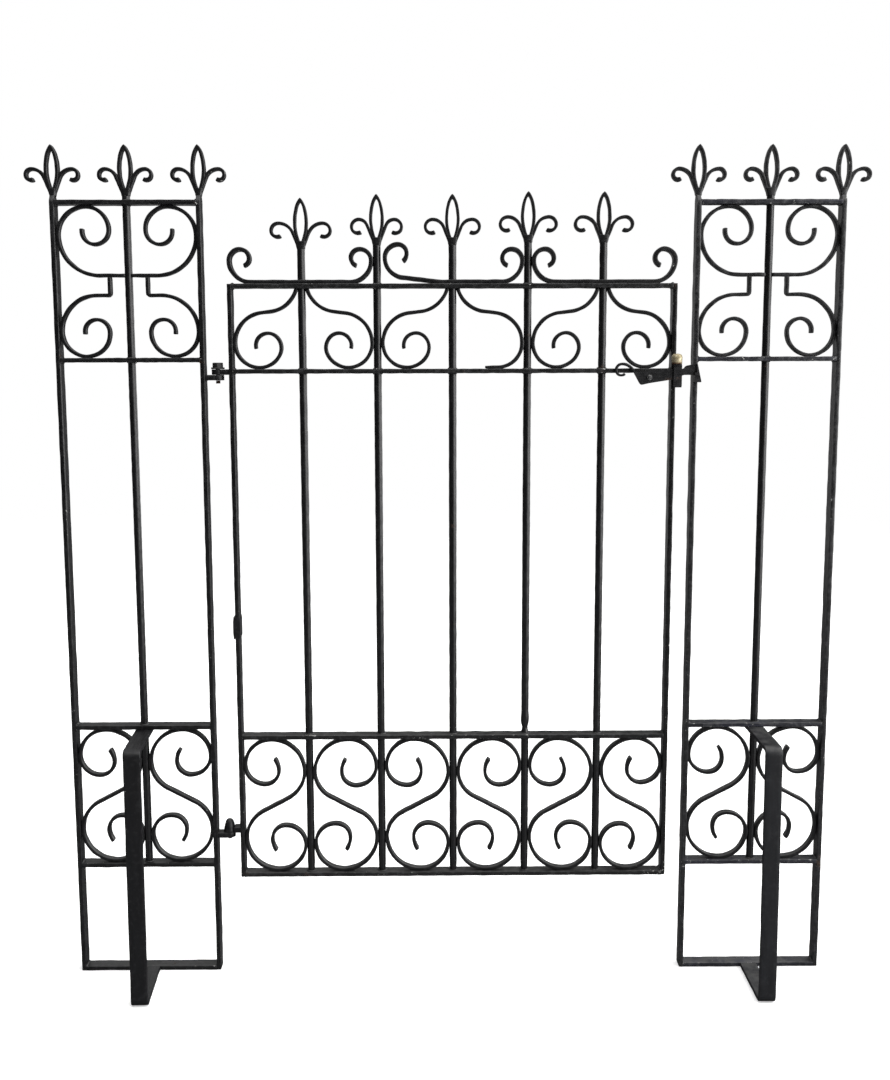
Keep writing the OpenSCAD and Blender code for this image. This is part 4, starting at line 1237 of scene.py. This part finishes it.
# %% Strap and keeper
GUIDE_T = 2.5
sides, depth = (guide_l + 0.2, guide_r - 0.2), (guide_y + 0.5, bar_front + 0.3)
forged("latch_guide", "greasy_black_on_latch", [
    (block(guide_l, guide_r, guide_z, guide_top), guide_y, guide_y + GUIDE_T),
    (block(*sides, guide_top - GUIDE_T, guide_top - 0.1), *depth),
    (block(*sides, guide_z + 0.1, guide_z + GUIDE_T), *depth)], bevel=0.5)

(_, keeper_y, under), (right, _, over) = box_mm("latch_keeper")
left, wall = middle_x("latch_post") - flat_t / 2, nose_x + 0.5
shelf = nose_z - 0.3
wedge = [[left, under], [right, under], [wall + 1.5, over], [wall, over], [wall, shelf], [left, shelf]]
forged("latch_keeper", "greasy_black_on_latch", [
    (softened(wedge, 0.05), keeper_y + 0.2, bar_front + 0.3),
    (block(left, wall + 1.5, shelf - 0.5, shelf + 4.5), keeper_y, keeper_y + 3)], bevel=0.5)
print("the keeper's shelf is", round(nose_z - shelf, 1), "mm under the lever's nose")

# %% [markdown]
# The knob is a turned barrel with rounded shoulders. It sits on the strap and narrows a little towards its
# foot. The splice collar is four flats round the hinge stile: a wedge, a block and two cheeks.

# %% Knob and splice
low, high = box_mm("brass_knob")
half, knob_h = (high[0] - low[0]) / 2, high[2] - low[2]
insets = [[1.6, 0], [0.7, 0.5], [0.5, 3], [0.2, 6.5], [0, 10], [0.1, 12.3], [0.8, 14.2], [2.1, 15.9],
          [4.2, 17.0], [7, 17.45]]
profile = [[half - inset, z] for inset, z in insets] + [[1.2, knob_h]]
knob = turned(profile, (*((low + high) / 2)[:2], low[2]), points=40, lump=0.12, seed=610)
stand_for("brass_knob", [knob], "dull_brass", slot="dull_brass")

(left, front, under), (right, back, over) = box_mm("splice_collar")
inner = stile_face + 0.2
wedge = [[left + 1, under], [inner, under], [inner, over], [left + 1, over],
         [left, over - 9], [left, under + 9]]
cheek = block(left + 1.5, right - 0.4, under + 1, over - 1)
forged("splice_collar", "greasy_black_on_latch", [
    (softened(wedge, 0.12), front + 0.6, back - 0.6),
    (block(stile_l + flat_t / 2 - 0.2, right, under + 3, over - 4), front + 0.8, back - 0.8),
    (cheek, front, front + 1.7), (cheek, back - 1.7, back)], bevel=0.6)
print(len(made), "of", len(body_of), "CAD nodes have a worn piece")

# %% [markdown]
# ## Welds
# Beads are short lumpy tubes laid in the corners between two bars, half sunk into both, so that only the
# fillet shows. Rings of weld close round the bars where they pass a rail, and blobs fill the gap where a
# scroll touches.

# %% Beads, rings and blobs
PAD_DEPTH = 5.2


def bead(x, z, half_long, radius, seed):
    """A lumpy tube along Y, in a corner of the gate's plane."""
    s = np.linspace(0, 2 * half_long, 9)
    line = (np.stack([0 * s, s - half_long], 1), 0 * s + np.pi / 2, s)
    size = 2 * radius * (1 + 0.22 * ripple(np.stack([0 * s + x, s, 0 * s + z], 1), 9.0, seed))
    return bar(line, size, size, plane=FLOOR_PLANE, at=(x, 0, z), section=round_section(8),
               blunt=radius * 0.5, lump=0.25, lump_length=6, seed=seed)


def ring_weld(x, z, seed, radius=1.5):
    """A lumpy ring round a round bar."""
    line = circle_line(x, bar_d / 2 + 0.2, 22)
    size = 2 * radius * (1 + 0.3 * ripple(np.insert(line[0], 2, z, axis=1), 7.0, seed))
    return bar(line, size, size, plane=FLOOR_PLANE, at=(0, 0, z), section=round_section(7), loop=True,
               lump=0.2, lump_length=5, seed=seed)


def bar_rings(x, rails, seed):
    """Rings over and under every rail that a bar passes, but none under the lowest."""
    return [ring_weld(x, z, seed + k) for k, faces in enumerate(rails) for z in (faces if k else faces[1:])]


def frame_beads(stiles, rails, seed):
    """In each corner of a frame: over and under every rail, against both uprights, but not at the ground."""
    beads = []
    for side, x in zip((1, -1), stiles):
        for faces in rails:
            seed += 2
            beads += [bead(x + side * (flat_t / 2 + 0.3), z, flat_w / 2 - 1.2, 1.9, seed + int(z) % 2)
                      for z in faces if z > 5]
    return beads


def touch_pads(bays, z_under, z_over, seed):
    """Where an S touches its bay: two places on the uprights and two on the rails."""
    pads = []
    for i, (x_from, x_to) in enumerate(bays):
        reach, rise = (x_to - x_from) / 2, (z_over - z_under) / 2
        x, z = (x_from + x_to) / 2, (z_under + z_over) / 2
        big = S_BIG * 2 * (reach - strip_t / 2)
        for end in (1, -1):
            hand = -end if i % 2 else end
            dice = seed + 7 * i + end
            pads += [pad((x + hand * reach, 0, z + end * (rise - big)), 1.2, PAD_DEPTH, 5.5, dice),
                     pad((x + hand * (reach - big), 0, z + end * rise), 5.5, PAD_DEPTH, 1.2, dice + 3)]
    return pads


def weld_piece(name, tubes, body, welds=()):
    """Welds are pieces of their own, and ride on the body that they hold together."""
    piece = skin(name, tubes, welds)
    piece.data.materials.append(finishes["black_paint_on_welds"])
    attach(piece, body)
    print(name, "has", len(tubes), "welds")


# %% Welds on the gate
rails = [rail_z(rail) for rail in GATE_RAILS]
beads = frame_beads((stile_l, stile_r), rails, 700)
for i, x in enumerate(gate_xs):
    beads += bar_rings(x, rails, 720 + 10 * i)
beads += touch_pads(gate_bays, rails[0][1], rails[1][0], 800)
for i, side in pairs + [BROKEN]:
    foot_x = gate_xs[i] + side * heart_bay(i, side)
    beads += [pad((gate_xs[i] + side * HEART_X, 0, rails[3][0] - 0.5), 4.5, 5.4, 2.2, 850 + i + side),
              pad((foot_x, 0, heart_floor + HEART_HOOK), 1.3, PAD_DEPTH, 6, 860 + i + side)]
    if (i, side) != BROKEN:
        beads.append(pad((foot_x - side * (HEART_HOOK + strip_t / 2), 0, heart_floor - strip_t / 2),
                         6, PAD_DEPTH, 1.2, 870 + i + side))
weld_piece("gate_welds", beads, "gate", gate_welds)


# %% Welds on the panels and the hinge lugs
def panel_pads(side):
    """Where the upper scrolls touch: how far out from the middle bar, how high, half width, half height."""
    middle_rail, top_rail = [rail_z(node) for node in panel_rails[side][3:]]
    x = middle_x(PANELS[side][1])
    reach, band_z, half_t = panel_bays[side][1][1] - x, band_height(side), strip_t / 2
    touches = ((reach, band_z + C_LOW, 1.3, 7),
               (reach - half_t - C_TOP, top_rail[0], 6, 1.3),
               (reach, middle_rail[1] + half_t + HOOK, 1.3, 6),
               (reach - half_t - HOOK, middle_rail[1], 6, 1.3),
               (bar_d / 2, band_z, 2.6, 3.4),
               (DROP_X, band_z - half_t, 4, 1.6))
    return [pad((x + hand * out, 0, z), half_x, PAD_DEPTH, half_z, 960 + 4 * k + hand)
            for hand in (1, -1) for k, (out, z, half_x, half_z) in enumerate(touches)]


for side, (left_post, middle_bar, right_post) in PANELS.items():
    rails = [rail_z(node) for node in panel_rails[side]]
    beads = frame_beads((middle_x(left_post), middle_x(right_post)), rails, 900)
    beads += bar_rings(middle_x(middle_bar), rails[1:], 930)
    beads += touch_pads(panel_bays[side], rails[1][1], rails[2][0], 940) + panel_pads(side)
    weld_piece(f"{side}_panel_welds", beads, "frame", panel_welds[side])
weld_piece("hinge_lug_welds", [bead(post_face + 0.4, lug_z + 0.4, 9, 1.8, 990),
                               bead(post_face + 0.4, lug_over - 8.6, 9, 1.9, 991)], "frame")

# %% [markdown]
# ## Setting
# A pale floor that fades out with distance, soft light from all round, one tall soft lamp from the right that
# draws the long highlight down every round bar, and a broad one above. Outdoors this is the open sky on one
# side of a yard.

# %% Camera
EYE_AT = (0.51494, -2.18430, 1.08471)
LOOK_DOWN, LOOK_RIGHT, ROLL = math.radians(7.83), math.radians(0.503), math.radians(0.121)
lens = bpy.data.cameras.new("front_camera")
lens.lens, lens.sensor_width, lens.sensor_fit = 51.13, 36.0, "HORIZONTAL"
lens.clip_start, lens.clip_end = 0.05, 60
camera = bpy.data.objects.new("front_camera", lens)
turned_by = (Matrix.Rotation(-LOOK_RIGHT, 4, "Z") @ Matrix.Rotation(-LOOK_DOWN, 4, "X")
             @ Matrix.Rotation(ROLL, 4, "Y"))
camera.matrix_world = Matrix.Translation(EYE_AT) @ turned_by @ Matrix.Rotation(math.pi / 2, 4, "X")
bpy.context.scene.collection.objects.link(camera)
bpy.context.scene.camera = camera
print("camera at", EYE_AT)

# %% [markdown]
# The floor is rings of points again, this time about a point between the panels. It reflects little of what
# falls on it into the iron, but it looks white to the camera, and it fades out before its rim.

# %% Floor
floor_radii = np.array([0.02, 1.5, 3.0, 6.0, 9.0])
flat = floor_radii[:, None, None] * towards(all_round(64)) + [0.55, 0]
index = np.arange(flat[..., 0].size).reshape(flat.shape[:2])
after = np.roll(index, -1, 1)
rows = np.stack([index[:-1], index[1:], after[1:], after[:-1]], -1).reshape(-1, 4)
floor_points = np.insert(flat.reshape(-1, 2), 2, -0.0008, axis=1)
floor_mesh = bpy.data.meshes.new("pale_floor")
floor_mesh.from_pydata(floor_points.tolist(), [], rows.tolist() + [index[0].tolist()])
floor = bpy.data.objects.new("pale_floor", floor_mesh)
bpy.context.scene.collection.objects.link(floor)
floor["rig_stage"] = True
bench, shader, place = new_finish("pale_floor")
looked_at = bench.put("LightPath")["Is Camera Ray"]
bench.feed(shader["Base Color"], bench.over(looked_at, (0.16, 0.16, 0.165, 1), (1.0, 1.0, 1.0, 1)))
bench.feed(shader["Roughness"], 0.9)
bench.feed(shader["Emission Color"], (1, 1, 1, 1))
bench.feed(shader["Emission Strength"], bench.times(looked_at, 0.35))
away = bench.put("VectorMath", dict(operation="LENGTH"), Vector=place)["Value"]
bench.feed(shader["Alpha"], bench.ease(away, 2.2, 7.5, 1.0, 0.0))
floor_mesh.materials.append(finishes["pale_floor"])
print("the floor reaches", floor_radii[-1], "m out")

# %% [markdown]
# The sky is brightest on the right, with some light from above and a little from behind on the left. The
# camera sees it plain white, and only the iron reflects its parts.

# %% Sky
world = bpy.data.worlds.new("soft_sky")
bpy.context.scene.world = world
world.use_nodes = True
sky = world.node_tree.nodes["Background"].inputs
bench = Bench(world.node_tree)
direction = bench.put("SeparateXYZ", Vector=bench.put("TexCoord")["Generated"])
above = bench.ease(direction["Z"], 0.15, 0.95, 0.05, 0.8)
behind = bench.times(bench.ease(direction["Y"], 0.5, 0.9), bench.ease(direction["X"], -0.1, 0.1, 0.6, 0.1))
glow = bench.add(above, behind, bench.ease(direction["X"], 0.40, 0.52, 0.0, 2.7))
seen = bench.put("LightPath")["Is Camera Ray"]
bench.feed(sky["Strength"], bench.put("Mix", dict(data_type="FLOAT"), {0: seen, 2: glow, 3: 1.0})[0])
bench.feed(sky["Color"], (1, 1, 1, 1))
print("sky made of", len(world.node_tree.nodes), "nodes")


# %% Lamps
def lamp(name, at, aim, size, power):
    """An oblong soft lamp that faces a point; size is its width and height in metres."""
    light = bpy.data.lights.new(name, "AREA")
    light.shape, light.size, light.size_y, light.energy = "RECTANGLE", *size, power
    held = bpy.data.objects.new(name, light)
    held.location = at
    held.rotation_euler = (Vector(aim) - Vector(at)).to_track_quat("-Z", "Y").to_euler()
    bpy.context.scene.collection.objects.link(held)


lamp("tall_lamp_right", (3.6, -1.6, 1.5), (0.55, 0, 0.8), (0.8, 3.0), 30)
lamp("broad_lamp_above", (0.6, -0.8, 4.2), (0.55, 0, 0.3), (3.5, 3.5), 60)
bpy.context.scene.view_settings.view_transform = "Standard"
print(len(bpy.data.lights), "lamps")

# %% [markdown]
# ## Last, the size
# The worn pieces were clipped to the CAD model's box, and the visual model's box is printed last.

# %% Print the size and finish
low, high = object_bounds()
print("visual model", [round(v, 4) for v in (*low, *high)])
